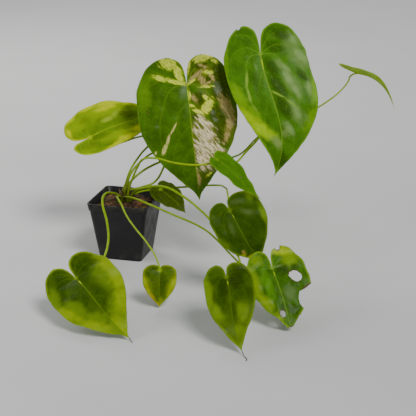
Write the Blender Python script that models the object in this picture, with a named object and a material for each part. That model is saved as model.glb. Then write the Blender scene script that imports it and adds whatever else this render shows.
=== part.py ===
# A potted anthurium: a square nursery pot, its bark mix, a short stem with roots, and eleven leaves.
# Metres, +Z up. The origin is at the centre of the pot's flat base, and the pot's sides face X and Y.
# The plant is laid out as (right, back, up) from a viewer who sees the pot turned by VIEW_TURN.
import math
import random

import bmesh
import bpy
from mathutils import Matrix, Vector, noise

VIEW_TURN = math.radians(15)
GAP = 0.0003                # between pieces that touch

# Pot
POT_WIDTH = 0.100           # outside, at the rim
POT_BASE = 0.070            # outside, at the floor
POT_HEIGHT = 0.095
WALL = 0.0012
POT_FLOOR = 0.0018
BAND_HEIGHT = 0.012         # the deeper band under the rim
BAND_PROUD = 0.0014
CORNER = 0.008
CORNER_STEPS = 5
CORNER_HOLE = (0.022, 0.0045)   # from the centre, and radius
SIDE_HOLE = (0.025, 0.0035)

# Potting mix
MIX_EDGE = 0.081            # height at the pot's wall
MIX_TOP = 0.088             # height at the stem
MIX_FLAT = 0.013            # radius that stays flat round the stem
MIX_RELIEF = 0.0026
MIX_RINGS = 8
MIX_SEED = 11
CHIPS = 38
CHIP_LENGTH = (0.008, 0.015)
CHIP_WIDTH = (0.005, 0.009)
CHIP_DEPTH = (0.003, 0.005)

# Stem and roots
STEM_RADIUS = 0.0063
STEM_LOW = 0.068
STEM_TOP = 0.098
STEM_SIDES = 16
ROOTS = ((20, 0.030, 0.036), (95, 0.026, 0.030), (160, 0.031, 0.040), (230, 0.024, 0.026),
         (300, 0.029, 0.034))
ROOT_RADIUS = 0.0019

# Leaf stalks stand in two rings: low ones beside the stem, high ones on its top
LOW_RING = 0.0086
HIGH_RING = 0.0036

# Half of a heart-shaped blade, from the notch round to the tip: the share of the half width, the share
# of the length (of the lobe, below zero), and how far down the midrib the vein to that point starts
HEART = (
    (0.00, 0.00, 0.00),
    (0.015, -0.28, 0.00),
    (0.05, -0.62, 0.00),
    (0.14, -0.86, 0.00),
    (0.38, -1.00, 0.00),
    (0.71, -0.75, 0.00),
    (0.94, -0.08, 0.00),
    (0.99, 0.28, 0.05),
    (0.86, 0.49, 0.20),
    (0.60, 0.67, 0.42),
    (0.28, 0.83, 0.66),
    (0.08, 0.925, 0.84),
    (0.02, 0.972, 0.94),
    (0.00, 1.00, 1.00),
)

BLADE = 0.0008              # thickness
KNEE = 0.007                # the stalk turns into the blade this far behind it
EASE = 0.3                  # past the notch, the lobe's scale eases into the length's over this share
BOW_SCALE = 6.75            # makes the midrib's widest bend the leaf's own bow
BASE = dict(
    face=(0, 15),           # the blade's upper side looks this many degrees right of the viewer, and up
    lobe=0.020,             # how far the two lobes reach past the notch
    bow=0.0,                # the midrib's bend to the left, widest at two thirds of the length
    arch=0.004,             # the midrib's rise
    fold=0.10,              # each half's rise from the midrib
    droop=0.10,             # each margin's fall
    curl=0.0,               # the tip's fall, as a share of the length
    lean=0.0,               # the lobes' rise
    wave=(0.0012, 3.0, 0.0),    # the margin's ripple: height, count and start
    grid=(18, 3),           # steps round the half outline, and from the midrib out
    cuts=(),                # holes and tears: (left, along, radius, stretch, turn)
    stalk=(0.0019, 0.0012),     # radius at the foot and at the blade
    ring="low",
)

LEAVES = {
    "leaf_left_lime": dict(
        notch=(-0.060, 0.060, 0.176), tip=(0.055, 0.110, 0.213), face=(-20, 46), halves=(0.040, 0.056),
        lobe=0.034, bow=0.008, arch=0.010, fold=0.16, curl=0.05,
        stalk=(0.0019, 0.0014), ring="high", foot=160,
        route=((-0.001, 0.008, 0.112), (0.006, 0.026, 0.130), (0.022, 0.052, 0.150), (0.038, 0.076, 0.164),
               (0.038, 0.090, 0.170), (0.018, 0.092, 0.168), (-0.004, 0.088, 0.162), (-0.028, 0.080, 0.156),
               (-0.050, 0.070, 0.158))),
    "leaf_cream_variegated": dict(
        notch=(0.098, 0.035, 0.270), tip=(0.118, -0.005, 0.090), face=(0, 18), halves=(0.083, 0.075),
        lobe=0.045, arch=0.012, fold=0.14, droop=0.16, curl=0.03, lean=0.006, wave=(0.0025, 3.0, 0.4),
        grid=(22, 4), stalk=(0.0020, 0.0015), ring="high", foot=340,
        route=((0.010, 0.001, 0.107), (0.026, 0.008, 0.109), (0.046, 0.020, 0.114), (0.060, 0.032, 0.135),
               (0.076, 0.052, 0.180), (0.089, 0.062, 0.228), (0.096, 0.053, 0.262))),
    "leaf_tall_green": dict(
        notch=(0.213, 0.025, 0.322), tip=(0.234, -0.030, 0.137), face=(0, 15), halves=(0.060, 0.073),
        lobe=0.045, bow=-0.019, arch=0.016, fold=0.12, droop=0.18, curl=0.04, lean=0.004,
        wave=(0.0030, 2.5, 1.2), grid=(22, 4), stalk=(0.0020, 0.0015), ring="high", foot=70,
        route=((0.004, 0.010, 0.112), (0.018, 0.024, 0.124), (0.042, 0.038, 0.136), (0.070, 0.046, 0.144),
               (0.104, 0.044, 0.149), (0.140, 0.028, 0.146), (0.169, 0.006, 0.147), (0.193, 0.012, 0.168),
               (0.215, 0.024, 0.192), (0.228, 0.048, 0.240), (0.222, 0.056, 0.290), (0.215, 0.043, 0.316))),
    "leaf_far_right": dict(
        notch=(0.358, 0.030, 0.292), tip=(0.434, 0.010, 0.262), face=(112, 54), halves=(0.026, 0.026),
        lobe=0.024, arch=0.006, fold=0.22, curl=0.32, grid=(14, 2),
        stalk=(0.0018, 0.0012), ring="high", foot=250,
        route=((0.001, 0.000, 0.112), (0.008, 0.010, 0.130), (0.024, 0.028, 0.146), (0.048, 0.046, 0.157),
               (0.084, 0.060, 0.160), (0.128, 0.060, 0.152), (0.172, 0.044, 0.148), (0.216, 0.048, 0.184),
               (0.262, 0.044, 0.214), (0.301, 0.034, 0.231), (0.321, 0.030, 0.245), (0.339, 0.030, 0.260),
               (0.352, 0.032, 0.276))),
    "leaf_narrow": dict(
        notch=(0.145, -0.050, 0.172), tip=(0.216, -0.070, 0.117), face=(52, 46), halves=(0.024, 0.024),
        lobe=0.010, bow=0.011, arch=0.006, fold=0.22, curl=0.04, grid=(14, 2), stalk=(0.0019, 0.0014),
        foot=289,
        route=((0.006, -0.009, 0.112), (0.012, -0.013, 0.130), (0.021, -0.022, 0.152), (0.030, -0.034, 0.168),
               (0.048, -0.044, 0.173), (0.080, -0.050, 0.167), (0.115, -0.054, 0.165),
               (0.135, -0.053, 0.167))),
    "leaf_satin": dict(
        notch=(0.163, -0.190, 0.138), tip=(0.211, -0.200, 0.060), face=(0, 12), halves=(0.036, 0.046),
        lobe=0.019, bow=0.003, arch=0.006, fold=0.12, curl=0.04, wave=(0.0020, 3.0, 0.8), foot=26,
        stalk=(0.0019, 0.0013),
        route=((0.018, 0.009, 0.104), (0.040, 0.012, 0.106), (0.076, 0.014, 0.106), (0.112, 0.018, 0.107),
               (0.143, 0.008, 0.112), (0.157, -0.040, 0.124), (0.161, -0.110, 0.137),
               (0.162, -0.164, 0.138))),
    "leaf_torn": dict(
        notch=(0.223, -0.250, 0.072), tip=(0.248, -0.322, 0.0030), face=(0, 38), halves=(0.040, 0.047),
        lobe=0.030, bow=-0.002, arch=0.006, fold=0.08, curl=0.02, wave=(0.0022, 3.5, 2.0), foot=258,
        stalk=(0.0019, 0.0013),
        cuts=((-0.028, 0.022, 0.0080, 1.3, 30), (-0.052, 0.062, 0.0280, 0.85, 0),
              (0.005, 0.074, 0.0040, 1.3, 0), (-0.019, 0.088, 0.0045, 1.3, 20),
              (-0.015, -0.030, 0.0040, 1.4, 0), (-0.002, 0.106, 0.0120, 1.0, 0)),
        route=((0.004, -0.020, 0.101), (0.016, -0.038, 0.105), (0.037, -0.062, 0.105), (0.074, -0.090, 0.098),
               (0.123, -0.117, 0.084), (0.146, -0.145, 0.074), (0.163, -0.168, 0.063), (0.180, -0.192, 0.055),
               (0.200, -0.216, 0.054), (0.216, -0.236, 0.060))),
    "leaf_right_hanging": dict(
        notch=(0.157, -0.300, 0.078), tip=(0.178, -0.391, 0.0056), face=(0, 38), halves=(0.034, 0.037),
        lobe=0.020, bow=0.004, arch=0.008, fold=0.10, curl=0.03, wave=(0.0020, 3.0, 0.0), foot=320,
        stalk=(0.0020, 0.0014),
        route=((0.015, -0.010, 0.106), (0.028, -0.028, 0.118), (0.061, -0.060, 0.132), (0.090, -0.095, 0.130),
               (0.123, -0.132, 0.115), (0.140, -0.151, 0.103), (0.157, -0.170, 0.088), (0.171, -0.188, 0.074),
               (0.178, -0.218, 0.066), (0.173, -0.255, 0.064), (0.162, -0.284, 0.065))),
    "leaf_front_left": dict(
        notch=(-0.058, -0.250, 0.056), tip=(0.024, -0.345, 0.0048), face=(-15, 54), halves=(0.052, 0.054),
        lobe=0.034, bow=0.004, arch=0.010, fold=0.14, droop=0.12, curl=0.02, wave=(0.0022, 3.0, 1.0),
        foot=195, stalk=(0.0021, 0.0015),
        route=((-0.022, -0.010, 0.105), (-0.032, -0.034, 0.109), (-0.033, -0.056, 0.104),
               (-0.024, -0.090, 0.084), (-0.020, -0.130, 0.066), (-0.027, -0.175, 0.051),
               (-0.041, -0.216, 0.042), (-0.053, -0.240, 0.043))),
    "leaf_shield": dict(
        notch=(0.061, -0.214, 0.054), tip=(0.060, -0.231, 0.0018), face=(0, 12), halves=(0.025, 0.025),
        lobe=0.008, arch=0.004, fold=0.12, curl=0.02, grid=(14, 2), stalk=(0.0018, 0.0012), foot=227,
        route=((-0.012, -0.022, 0.103), (-0.010, -0.040, 0.106), (-0.004, -0.058, 0.103),
               (0.006, -0.090, 0.095), (0.022, -0.130, 0.088), (0.042, -0.172, 0.079),
               (0.056, -0.200, 0.066))),
    "leaf_small_dark": dict(
        notch=(0.056, -0.008, 0.110), tip=(0.097, -0.042, 0.082), face=(10, 50), halves=(0.021, 0.021),
        lobe=0.012, arch=0.005, fold=0.12, curl=0.02, grid=(14, 2), stalk=(0.0017, 0.0011), foot=353,
        route=((0.017, -0.003, 0.102), (0.034, -0.004, 0.107), (0.048, -0.005, 0.107))),
}


def place(right, back, up):
    """A point of the plant, from the viewer's directions to the pot's own frame."""
    turned = Matrix.Rotation(VIEW_TURN, 3, "Z") @ Vector((right, back, 0.0))
    return Vector((turned.x, turned.y, up))


def finish(obj, colour, roughness, metallic=0.0):
    material = bpy.data.materials.new(obj.name)
    material.use_nodes = True
    shader = material.node_tree.nodes["Principled BSDF"]
    shader.inputs["Base Color"].default_value = (*colour, 1.0)
    shader.inputs["Roughness"].default_value = roughness
    shader.inputs["Metallic"].default_value = metallic
    obj.data.materials.clear()
    obj.data.materials.append(material)
    obj.data.shade_smooth()
    obj.data.set_sharp_from_angle(angle=math.radians(40))


def mesh_object(name, bm):
    mesh = bpy.data.meshes.new(name)
    bm.to_mesh(mesh)
    bm.free()
    obj = bpy.data.objects.new(name, mesh)
    bpy.context.scene.collection.objects.link(obj)
    return obj


def apply_shape(obj):
    """Turn the object's curve or modifiers into its own welded mesh."""
    bpy.context.view_layer.update()
    depsgraph = bpy.context.evaluated_depsgraph_get()
    mesh = bpy.data.meshes.new_from_object(obj.evaluated_get(depsgraph))
    bm = bmesh.new()
    bm.from_mesh(mesh)
    bmesh.ops.remove_doubles(bm, verts=bm.verts, dist=1e-6)
    bmesh.ops.recalc_face_normals(bm, faces=bm.faces)
    name = obj.name
    bpy.data.objects.remove(obj)
    return mesh_object(name, bm)


def combine(target, tools, operation):
    """Join the tools to the target, or cut them out of it, and remove them."""
    group = bpy.data.collections.new("tools")
    bpy.context.scene.collection.children.link(group)
    for tool in tools:
        bpy.context.scene.collection.objects.unlink(tool)
        group.objects.link(tool)
    boolean = target.modifiers.new(operation, "BOOLEAN")
    boolean.operation = operation
    boolean.operand_type = "COLLECTION"
    boolean.collection = group
    boolean.solver = "EXACT"
    result = apply_shape(target)
    for tool in tools:
        bpy.data.objects.remove(tool)
    bpy.data.collections.remove(group)
    return result


def tube(name, points, radii, steps=2, sides=8):
    """A round, closed tube along a smooth curve through the points."""
    curve = bpy.data.curves.new(name, "CURVE")
    curve.dimensions = "3D"
    curve.resolution_u = steps
    curve.bevel_depth = 1.0
    curve.bevel_resolution = (sides - 4) // 2
    curve.use_fill_caps = True
    spline = curve.splines.new("BEZIER")
    spline.bezier_points.add(len(points) - 1)
    for knot, point, radius in zip(spline.bezier_points, points, radii):
        knot.co = point
        knot.radius = radius
        knot.handle_left_type = "AUTO"
        knot.handle_right_type = "AUTO"
    obj = bpy.data.objects.new(name, curve)
    bpy.context.scene.collection.objects.link(obj)
    return apply_shape(obj)


def square_ring(bm, half, height, corner=CORNER):
    """A rounded square of vertices."""
    ring = []
    for quarter in range(4):
        start = quarter * math.pi / 2
        middle = Vector((half - corner, half - corner, 0.0))
        middle.rotate(Matrix.Rotation(start, 3, "Z"))
        for step in range(CORNER_STEPS):
            angle = start + step / (CORNER_STEPS - 1) * math.pi / 2
            ring.append(bm.verts.new((middle.x + corner * math.cos(angle),
                                      middle.y + corner * math.sin(angle), height)))
    return ring


def skin(bm, rings):
    """Close a body from a row of rings, with a flat cap at each end."""
    for lower, upper in zip(rings, rings[1:]):
        for index, corner in enumerate(lower):
            after = (index + 1) % len(lower)
            bm.faces.new((corner, lower[after], upper[after], upper[index]))
    bm.faces.new(rings[0][::-1])
    bm.faces.new(rings[-1])


def wall_half(height):
    """Half the outside width of the pot's tapering wall at a height."""
    top = POT_WIDTH / 2 - BAND_PROUD
    return POT_BASE / 2 + (top - POT_BASE / 2) * height / POT_HEIGHT


def round_cutter(x, y, radius, low, high, sides=12):
    bm = bmesh.new()
    bmesh.ops.create_cone(bm, cap_ends=True, segments=sides, radius1=radius, radius2=radius,
                          depth=high - low, matrix=Matrix.Translation((x, y, (low + high) / 2)))
    return mesh_object("cutter", bm)


def build_pot():
    band = POT_HEIGHT - BAND_HEIGHT
    edge = 0.0008
    bm = bmesh.new()
    outline = (
        (POT_BASE / 2 - edge, 0.0),
        (wall_half(edge), edge),
        (wall_half(band), band),
        (wall_half(band) + BAND_PROUD, band),
        (POT_WIDTH / 2, POT_HEIGHT - edge),
        (POT_WIDTH / 2 - edge, POT_HEIGHT),
        (wall_half(POT_HEIGHT) - WALL, POT_HEIGHT),
        (wall_half(POT_FLOOR) - WALL, POT_FLOOR),
    )
    skin(bm, [square_ring(bm, half, height) for half, height in outline])
    pot = mesh_object("pot", bm)
    cutters = []
    for quarter in range(4):
        angle = quarter * math.pi / 2
        for (reach, radius), turn in ((SIDE_HOLE, 0.0), (CORNER_HOLE, math.pi / 4)):
            reach = reach if turn == 0.0 else reach * math.sqrt(2)
            cutters.append(round_cutter(reach * math.cos(angle + turn), reach * math.sin(angle + turn),
                                        radius, -POT_FLOOR, 2 * POT_FLOOR))
    pot = combine(pot, cutters, "DIFFERENCE")
    finish(pot, (0.012, 0.012, 0.013), 0.42)


def mix_height(x, y):
    """The mounded, uneven top of the potting mix."""
    reach = max(abs(x), abs(y))
    far = min(1.0, max(0.0, (math.hypot(x, y) - MIX_FLAT) / (POT_WIDTH / 2 - MIX_FLAT)))
    uneven = min(1.0, far * 3.0) * (1.0 if reach < POT_WIDTH * 0.42 else 0.4)
    bumps = noise.noise(Vector((x, y, 0.0)) * 95.0)
    return MIX_TOP - (MIX_TOP - MIX_EDGE) * far ** 1.5 + MIX_RELIEF * uneven * bumps


def bark_chip(draw):
    """One angular chip of bark, half sunk in the mix and clear of the stem and of the pot's wall."""
    length = draw.uniform(*CHIP_LENGTH)
    room = wall_half(MIX_EDGE) - WALL - length * 0.62
    while True:
        x = draw.uniform(-room, room)
        y = draw.uniform(-room, room)
        if math.hypot(x, y) > 0.016 + length / 2:
            break
    bm = bmesh.new()
    bmesh.ops.create_cube(bm, size=1.0)
    bmesh.ops.scale(bm, verts=bm.verts, vec=(length, draw.uniform(*CHIP_WIDTH), draw.uniform(*CHIP_DEPTH)))
    for vert in bm.verts:
        vert.co *= draw.uniform(0.78, 1.0)
    tilt = Matrix.Rotation(math.radians(draw.uniform(-28, 28)), 4, "X")
    tilt = Matrix.Rotation(math.radians(draw.uniform(-24, 24)), 4, "Y") @ tilt
    turn = Matrix.Rotation(draw.uniform(0, math.tau), 4, "Z")
    seat = Matrix.Translation((x, y, mix_height(x, y) + 0.0004))
    bm.transform(seat @ turn @ tilt)
    return mesh_object("chip", bm)


def root_points(bearing, reach, fall):
    """A root leaves the foot of the stem, then bends down through the mix."""
    out = Vector((math.cos(math.radians(bearing)), math.sin(math.radians(bearing)), 0.0))
    side = Vector((-out.y, out.x, 0.0)) * 0.003
    start = Vector((0.0, 0.0, STEM_LOW + 0.007))
    down = Vector((0.0, 0.0, -fall))
    return [start, start + out * reach * 0.35 + down * 0.12, start + out * reach * 0.75 + down * 0.45 + side,
            start + out * reach + down]


def root_tubes(extra):
    tubes = []
    for bearing, reach, fall in ROOTS:
        points = root_points(bearing, reach, fall)
        points[-1] = points[-1] + (points[-1] - points[-2]).normalized() * extra
        radii = [ROOT_RADIUS * share + extra for share in (1.0, 1.0, 0.85, 0.6)]
        tubes.append(tube("root", points, radii, steps=3, sides=8))
    return tubes


def build_mix():
    low = POT_FLOOR + GAP
    clear = WALL + GAP * 1.4
    bm = bmesh.new()
    rings = [square_ring(bm, wall_half(low) - clear, low), square_ring(bm, wall_half(0.04) - clear, 0.04)]
    for step in range(MIX_RINGS):
        share = 1.0 - step / MIX_RINGS
        half = (wall_half(MIX_EDGE) - clear) * share
        ring = square_ring(bm, half, 0.0, corner=CORNER + (half - CORNER) * (1.0 - share))
        for vert in ring:
            vert.co.z = mix_height(vert.co.x, vert.co.y)
        rings.append(ring)
    skin(bm, rings)
    mix = mesh_object("potting_mix", bm)
    draw = random.Random(MIX_SEED)
    mix = combine(mix, [bark_chip(draw) for _ in range(CHIPS)], "UNION")
    well = round_cutter(0.0, 0.0, STEM_RADIUS + GAP * 1.3, STEM_LOW - 0.001, MIX_TOP + 0.02, STEM_SIDES)
    mix = combine(mix, [well] + root_tubes(GAP * 1.3), "DIFFERENCE")
    finish(mix, (0.075, 0.040, 0.020), 0.9)


def build_stem():
    bm = bmesh.new()
    outline = (
        (STEM_RADIUS * 0.75, STEM_LOW),
        (STEM_RADIUS, STEM_LOW + 0.006),
        (STEM_RADIUS, STEM_TOP - 0.001),
        (STEM_RADIUS - 0.0007, STEM_TOP),
    )
    rings = []
    for radius, height in outline:
        made = bmesh.ops.create_circle(bm, segments=STEM_SIDES, radius=radius,
                                       matrix=Matrix.Translation((0.0, 0.0, height)))
        rings.append(made["verts"])
    skin(bm, rings)
    stem = mesh_object("stem_and_roots", bm)
    stem = combine(stem, root_tubes(0.0), "UNION")
    finish(stem, (0.20, 0.23, 0.06), 0.6)


def along_curve(points, at):
    """A point on the smooth (Catmull-Rom) curve through the points; at counts the points."""
    index = min(int(at), len(points) - 2)
    share = at - index
    before = points[max(index - 1, 0)]
    start, end = points[index], points[index + 1]
    after = points[min(index + 2, len(points) - 1)]
    return tuple(
        0.5 * (2 * s + (e - b) * share + (2 * b - 5 * s + 4 * e - a) * share ** 2
               + (3 * s - b - 3 * e + a) * share ** 3)
        for b, s, e, a in zip(before, start, end, after))


def blade_frame(leaf):
    """The blade's own frame: x to its left, y from notch to tip, z out of its upper side."""
    notch = place(*leaf["notch"])
    along = (place(*leaf["tip"]) - notch).normalized()
    turn, lift = (math.radians(angle) for angle in leaf["face"])
    up = place(math.sin(turn) * math.cos(lift), -math.cos(turn) * math.cos(lift), math.sin(lift))
    up = (up - along * up.dot(along)).normalized()
    left = along.cross(up)
    return Matrix((left, along, up)).transposed().to_4x4(), notch


def blade_length(leaf):
    return (Vector(leaf["tip"]) - Vector(leaf["notch"])).length


def bend(leaf, x, y, share):
    """Lift a point of the flat blade into its folded, arched and rippled shape; share is 0 at the
    midrib and 1 at the margin."""
    length = blade_length(leaf)
    half = leaf["halves"][0 if x > 0 else 1]
    u = min(1.0, max(0.0, y / length))
    lobe = min(1.0, max(0.0, -y / leaf["lobe"]))
    height, count, start = leaf["wave"]
    round_blade = (y / length if y > 0 else y / leaf["lobe"] * 0.3)
    ripple = height * share ** 2 * math.sin(math.tau * count * round_blade + start + (1.3 if x > 0 else 0.0))
    ripple *= min(1.0, math.hypot(x, y) / half, (1.0 - u) * 8)
    rise = leaf["fold"] * abs(x) - leaf["droop"] * x * x / half * 1.2
    z = rise + leaf["arch"] * 4 * u * (1 - u) - leaf["curl"] * length * u ** 3 + ripple
    z += leaf["lean"] * lobe ** 2
    return Vector((x + leaf["bow"] * BOW_SCALE * u * u * (1 - u), y, z))


def outline_reach(leaf, far):
    """Where a share of the outline lies along the blade."""
    ease = min(1.0, max(0.0, far / EASE))
    return far * (leaf["lobe"] + (blade_length(leaf) - leaf["lobe"]) * ease * (2 - ease))


def build_blade(name, leaf):
    """A thin closed heart, in its own frame, with the same triangles above and below."""
    around, across = leaf["grid"]
    length = blade_length(leaf)
    bm = bmesh.new()
    for side, half in ((1, leaf["halves"][0]), (-1, leaf["halves"][1])):
        rows = []
        for step in range(around + 1):
            wide, far, vein = along_curve(HEART, step / around * (len(HEART) - 1))
            rim = Vector((side * max(wide, 0.0) * half, outline_reach(leaf, far)))
            start = Vector((0.0, max(vein, 0.0) * length))
            row = []
            for out in range(across + 1):
                flat = start.lerp(rim, out / across)
                row.append(bm.verts.new(bend(leaf, flat.x, flat.y, out / across)))
            rows.append(row)
        for near, ahead in zip(rows, rows[1:]):
            for out in range(across):
                corners = (near[out], near[out + 1], ahead[out + 1], ahead[out])
                bm.faces.new(corners if side > 0 else corners[::-1])
    bmesh.ops.remove_doubles(bm, verts=bm.verts, dist=1e-5)
    bmesh.ops.triangulate(bm, faces=bm.faces, quad_method="FIXED")
    under = bmesh.ops.extrude_face_region(bm, geom=bm.faces[:], use_keep_orig=True)["geom"]
    bmesh.ops.translate(bm, verts=[v for v in under if isinstance(v, bmesh.types.BMVert)], vec=(0, 0, -BLADE))
    bmesh.ops.recalc_face_normals(bm, faces=bm.faces)
    return mesh_object(name, bm)


def build_leaf(name, leaf):
    """One leaf grew as one piece: its stalk rises from the stem and runs on under the blade."""
    leaf = {**BASE, **leaf}
    frame, notch = blade_frame(leaf)
    blade = build_blade(name, leaf)
    for left, along, radius, stretch, turn in leaf["cuts"]:
        cutter = round_cutter(0.0, 0.0, radius, -0.03, 0.03, 10)
        shape = Matrix.Rotation(math.radians(turn), 4, "Z") @ Matrix.Diagonal((1.0, stretch, 1.0, 1.0))
        cutter.data.transform(Matrix.Translation((left, along, 0.0)) @ shape)
        blade = combine(blade, [cutter], "DIFFERENCE")
    blade.data.transform(Matrix.Translation(notch) @ frame)

    length = blade_length(leaf)
    foot_radius, end_radius = leaf["stalk"]
    bearing = math.radians(leaf["foot"])
    ring, floor = (LOW_RING, MIX_TOP + GAP) if leaf["ring"] == "low" else (HIGH_RING, STEM_TOP + GAP)
    out = (math.cos(bearing), math.sin(bearing))
    points = [place(out[0] * reach, out[1] * reach, floor + rise)
              for reach, rise in ((ring, 0.0), (ring * 1.12, 0.008))]
    points += [place(*point) for point in leaf["route"]]
    count = len(points)
    radii = [foot_radius + (end_radius - foot_radius) * index / count for index in range(count)]
    for y, size in ((KNEE, 1.0), (length * 0.16, 0.75), (length * 0.28, 0.5)):
        radii.append(end_radius * size)
        sunk = Vector((0.0, 0.0, radii[-1] + GAP))
        points.append(notch + frame.to_3x3() @ (bend(leaf, 0.0, y, 0.0) - sunk))
    points.insert(count, notch - frame.to_3x3() @ Vector((0.0, 0.0, KNEE)))
    radii.insert(count, end_radius)
    stalk = tube("stalk", points, radii)
    leaf_object = combine(blade, [stalk], "UNION")
    finish(leaf_object, (0.10, 0.24, 0.03), 0.4)


for old in list(bpy.data.objects):
    bpy.data.objects.remove(old)
build_pot()
build_mix()
build_stem()
for leaf_name, leaf_values in LEAVES.items():
    build_leaf(leaf_name, leaf_values)
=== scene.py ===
# A potted anthurium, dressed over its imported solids. Metres, +Z up, and the pot stands on z = 0.
import math
import random

import bmesh
import bpy
import numpy as np
from mathutils import Matrix, Vector, noise
from mathutils.kdtree import KDTree


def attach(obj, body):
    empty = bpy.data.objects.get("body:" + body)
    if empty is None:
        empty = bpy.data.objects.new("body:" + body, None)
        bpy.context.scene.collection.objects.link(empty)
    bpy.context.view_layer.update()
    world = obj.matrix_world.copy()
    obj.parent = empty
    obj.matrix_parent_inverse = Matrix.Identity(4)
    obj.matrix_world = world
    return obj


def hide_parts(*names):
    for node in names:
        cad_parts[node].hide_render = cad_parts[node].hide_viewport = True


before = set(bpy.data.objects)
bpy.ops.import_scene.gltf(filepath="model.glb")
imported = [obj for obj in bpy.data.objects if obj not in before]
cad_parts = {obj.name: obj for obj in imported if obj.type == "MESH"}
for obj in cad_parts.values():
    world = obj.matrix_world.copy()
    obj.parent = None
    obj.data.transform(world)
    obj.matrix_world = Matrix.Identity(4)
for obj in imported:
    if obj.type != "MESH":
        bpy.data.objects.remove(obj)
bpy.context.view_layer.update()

viewTurn = math.radians(15)   # the viewer sees the pot turned by this much
touch = 0.0003                # gap between pieces that touch


def place(right, back, up):
    turned = Matrix.Rotation(viewTurn, 3, "Z") @ Vector((right, back, 0.0))
    return Vector((turned.x, turned.y, up))


# A point of the smooth curve through the points; at counts the points
def alongCurve(points, at):
    index = min(int(at), len(points) - 2)
    share = at - index
    before, start = points[max(index - 1, 0)], points[index]
    end, after = points[index + 1], points[min(index + 2, len(points) - 1)]
    return tuple(
        0.5 * (2 * s + (e - b) * share + (2 * b - 5 * s + 4 * e - a) * share ** 2
               + (3 * s - b - 3 * e + a) * share ** 3)
        for b, s, e, a in zip(before, start, end, after))


def gauss(value, width):
    return math.exp(-(value / width) ** 2)


def addObject(name, data):
    obj = bpy.data.objects.new(name, data)
    bpy.context.scene.collection.objects.link(obj)
    return obj


def meshObject(name, bm, materials):
    mesh = bpy.data.meshes.new(name)
    bm.to_mesh(mesh)
    bm.free()
    for material in materials:
        mesh.materials.append(material)
    mesh.shade_smooth()
    return addObject(name, mesh)


def dress(obj, slotName, *nodes):
    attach(obj, "root")
    if nodes:
        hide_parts(*nodes)
    print("made", obj.name, len(obj.data.polygons), "faces")


# The object's evaluated mesh as a bmesh; the object goes
def takeMesh(obj):
    bpy.context.view_layer.update()
    evaluated = obj.evaluated_get(bpy.context.evaluated_depsgraph_get())
    mesh = bpy.data.meshes.new_from_object(evaluated)
    bm = bmesh.new()
    bm.from_mesh(mesh)
    bpy.data.objects.remove(obj)
    bpy.data.meshes.remove(mesh)
    return bm


def cutAway(bm, cutters):
    target = meshObject("cutTarget", bm, [])
    for cutter in cutters:
        tool = meshObject("cutTool", cutter, [])
        cut = target.modifiers.new("cut", "BOOLEAN")
        cut.operation = "DIFFERENCE"
        cut.solver = "EXACT"
        cut.object = tool
        result = takeMesh(target)
        bpy.data.objects.remove(tool)
        target = meshObject("cutTarget", result, [])
    return takeMesh(target)


# Adds one bmesh to another, in the material slot where one is given
def joinInto(bm, extra, slot=None):
    if slot is not None:
        for face in extra.faces:
            face.material_index = slot
    mesh = bpy.data.meshes.new("extra")
    extra.to_mesh(mesh)
    extra.free()
    bm.from_mesh(mesh)
    bpy.data.meshes.remove(mesh)


def roundTube(points, radii, steps, sides):
    curve = bpy.data.curves.new("tube", "CURVE")
    curve.dimensions = "3D"
    curve.resolution_u = steps
    curve.bevel_depth = 1.0
    curve.bevel_resolution = (sides - 4) // 2
    curve.use_fill_caps = True
    spline = curve.splines.new("BEZIER")
    spline.bezier_points.add(len(points) - 1)
    for knot, point, radius in zip(spline.bezier_points, points, radii):
        knot.co = point
        knot.radius = radius
        knot.handle_left_type = "AUTO"
        knot.handle_right_type = "AUTO"
    tube = takeMesh(addObject("tube", curve))
    bmesh.ops.remove_doubles(tube, verts=tube.verts, dist=1e-6)
    bmesh.ops.recalc_face_normals(tube, faces=tube.faces)
    return tube


def newMaterial(name):
    material = bpy.data.materials.new(name)
    material.use_nodes = True
    return material, material.node_tree.nodes["Principled BSDF"]


def plug(node, sockets):
    for socket, value in sockets.items():
        if isinstance(value, bpy.types.NodeSocket):
            node.id_data.links.new(value, node.inputs[socket])
        else:
            node.inputs[socket].default_value = value


# A node in the tree of the sockets that feed it
def addNode(kind, sockets, **settings):
    tree = next(value.id_data for value in sockets.values() if isinstance(value, bpy.types.NodeSocket))
    node = tree.nodes.new("ShaderNode" + kind)
    for setting, value in settings.items():
        setattr(node, setting, value)
    plug(node, sockets)
    return node


def ownPlace(shader):
    return shader.id_data.nodes.new("ShaderNodeTexCoord").outputs["Object"]


def readLayer(shader, layer, output="Vector"):
    node = shader.id_data.nodes.new("ShaderNodeAttribute")
    node.attribute_name = layer
    return node.outputs[output]


def parts(vector):
    return addNode("SeparateXYZ", {0: vector}).outputs


def sums(kind, first, second=0.0):
    return addNode("Math", {0: first, 1: second}, operation=kind).outputs[0]


def plus(first, second):
    return sums("ADD", first, second)


def times(first, second):
    return sums("MULTIPLY", first, second)


def vectorSums(kind, first, second=(0.0, 0.0, 0.0), output=0):
    return addNode("VectorMath", {0: first, 1: second}, operation=kind).outputs[output]


def mixColour(factor, first, second):
    first, second = ((*c, 1.0) if isinstance(c, tuple) else c for c in (first, second))
    return addNode("Mix", {0: factor, 6: first, 7: second}, data_type="RGBA").outputs[2]


# A soft step from low at start to high at end
def softStep(value, start, end, low=0.0, high=1.0):
    sockets = {"Value": value, "From Min": start, "From Max": end, "To Min": low, "To Max": high}
    return addNode("MapRange", sockets, interpolation_type="SMOOTHSTEP").outputs["Result"]


def noiseOf(where, scale, detail=3.0, rough=0.5, output="Fac"):
    sockets = {"Vector": where, "Scale": scale, "Detail": detail, "Roughness": rough}
    return addNode("TexNoise", sockets).outputs[output]


# The value, moved up and down by how far a noise strays from its middle
def shifted(value, cloud, amount):
    return plus(value, times(plus(cloud, -0.5), amount))


def shaded(colour, share):
    return tuple(channel * share for channel in colour)


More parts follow.
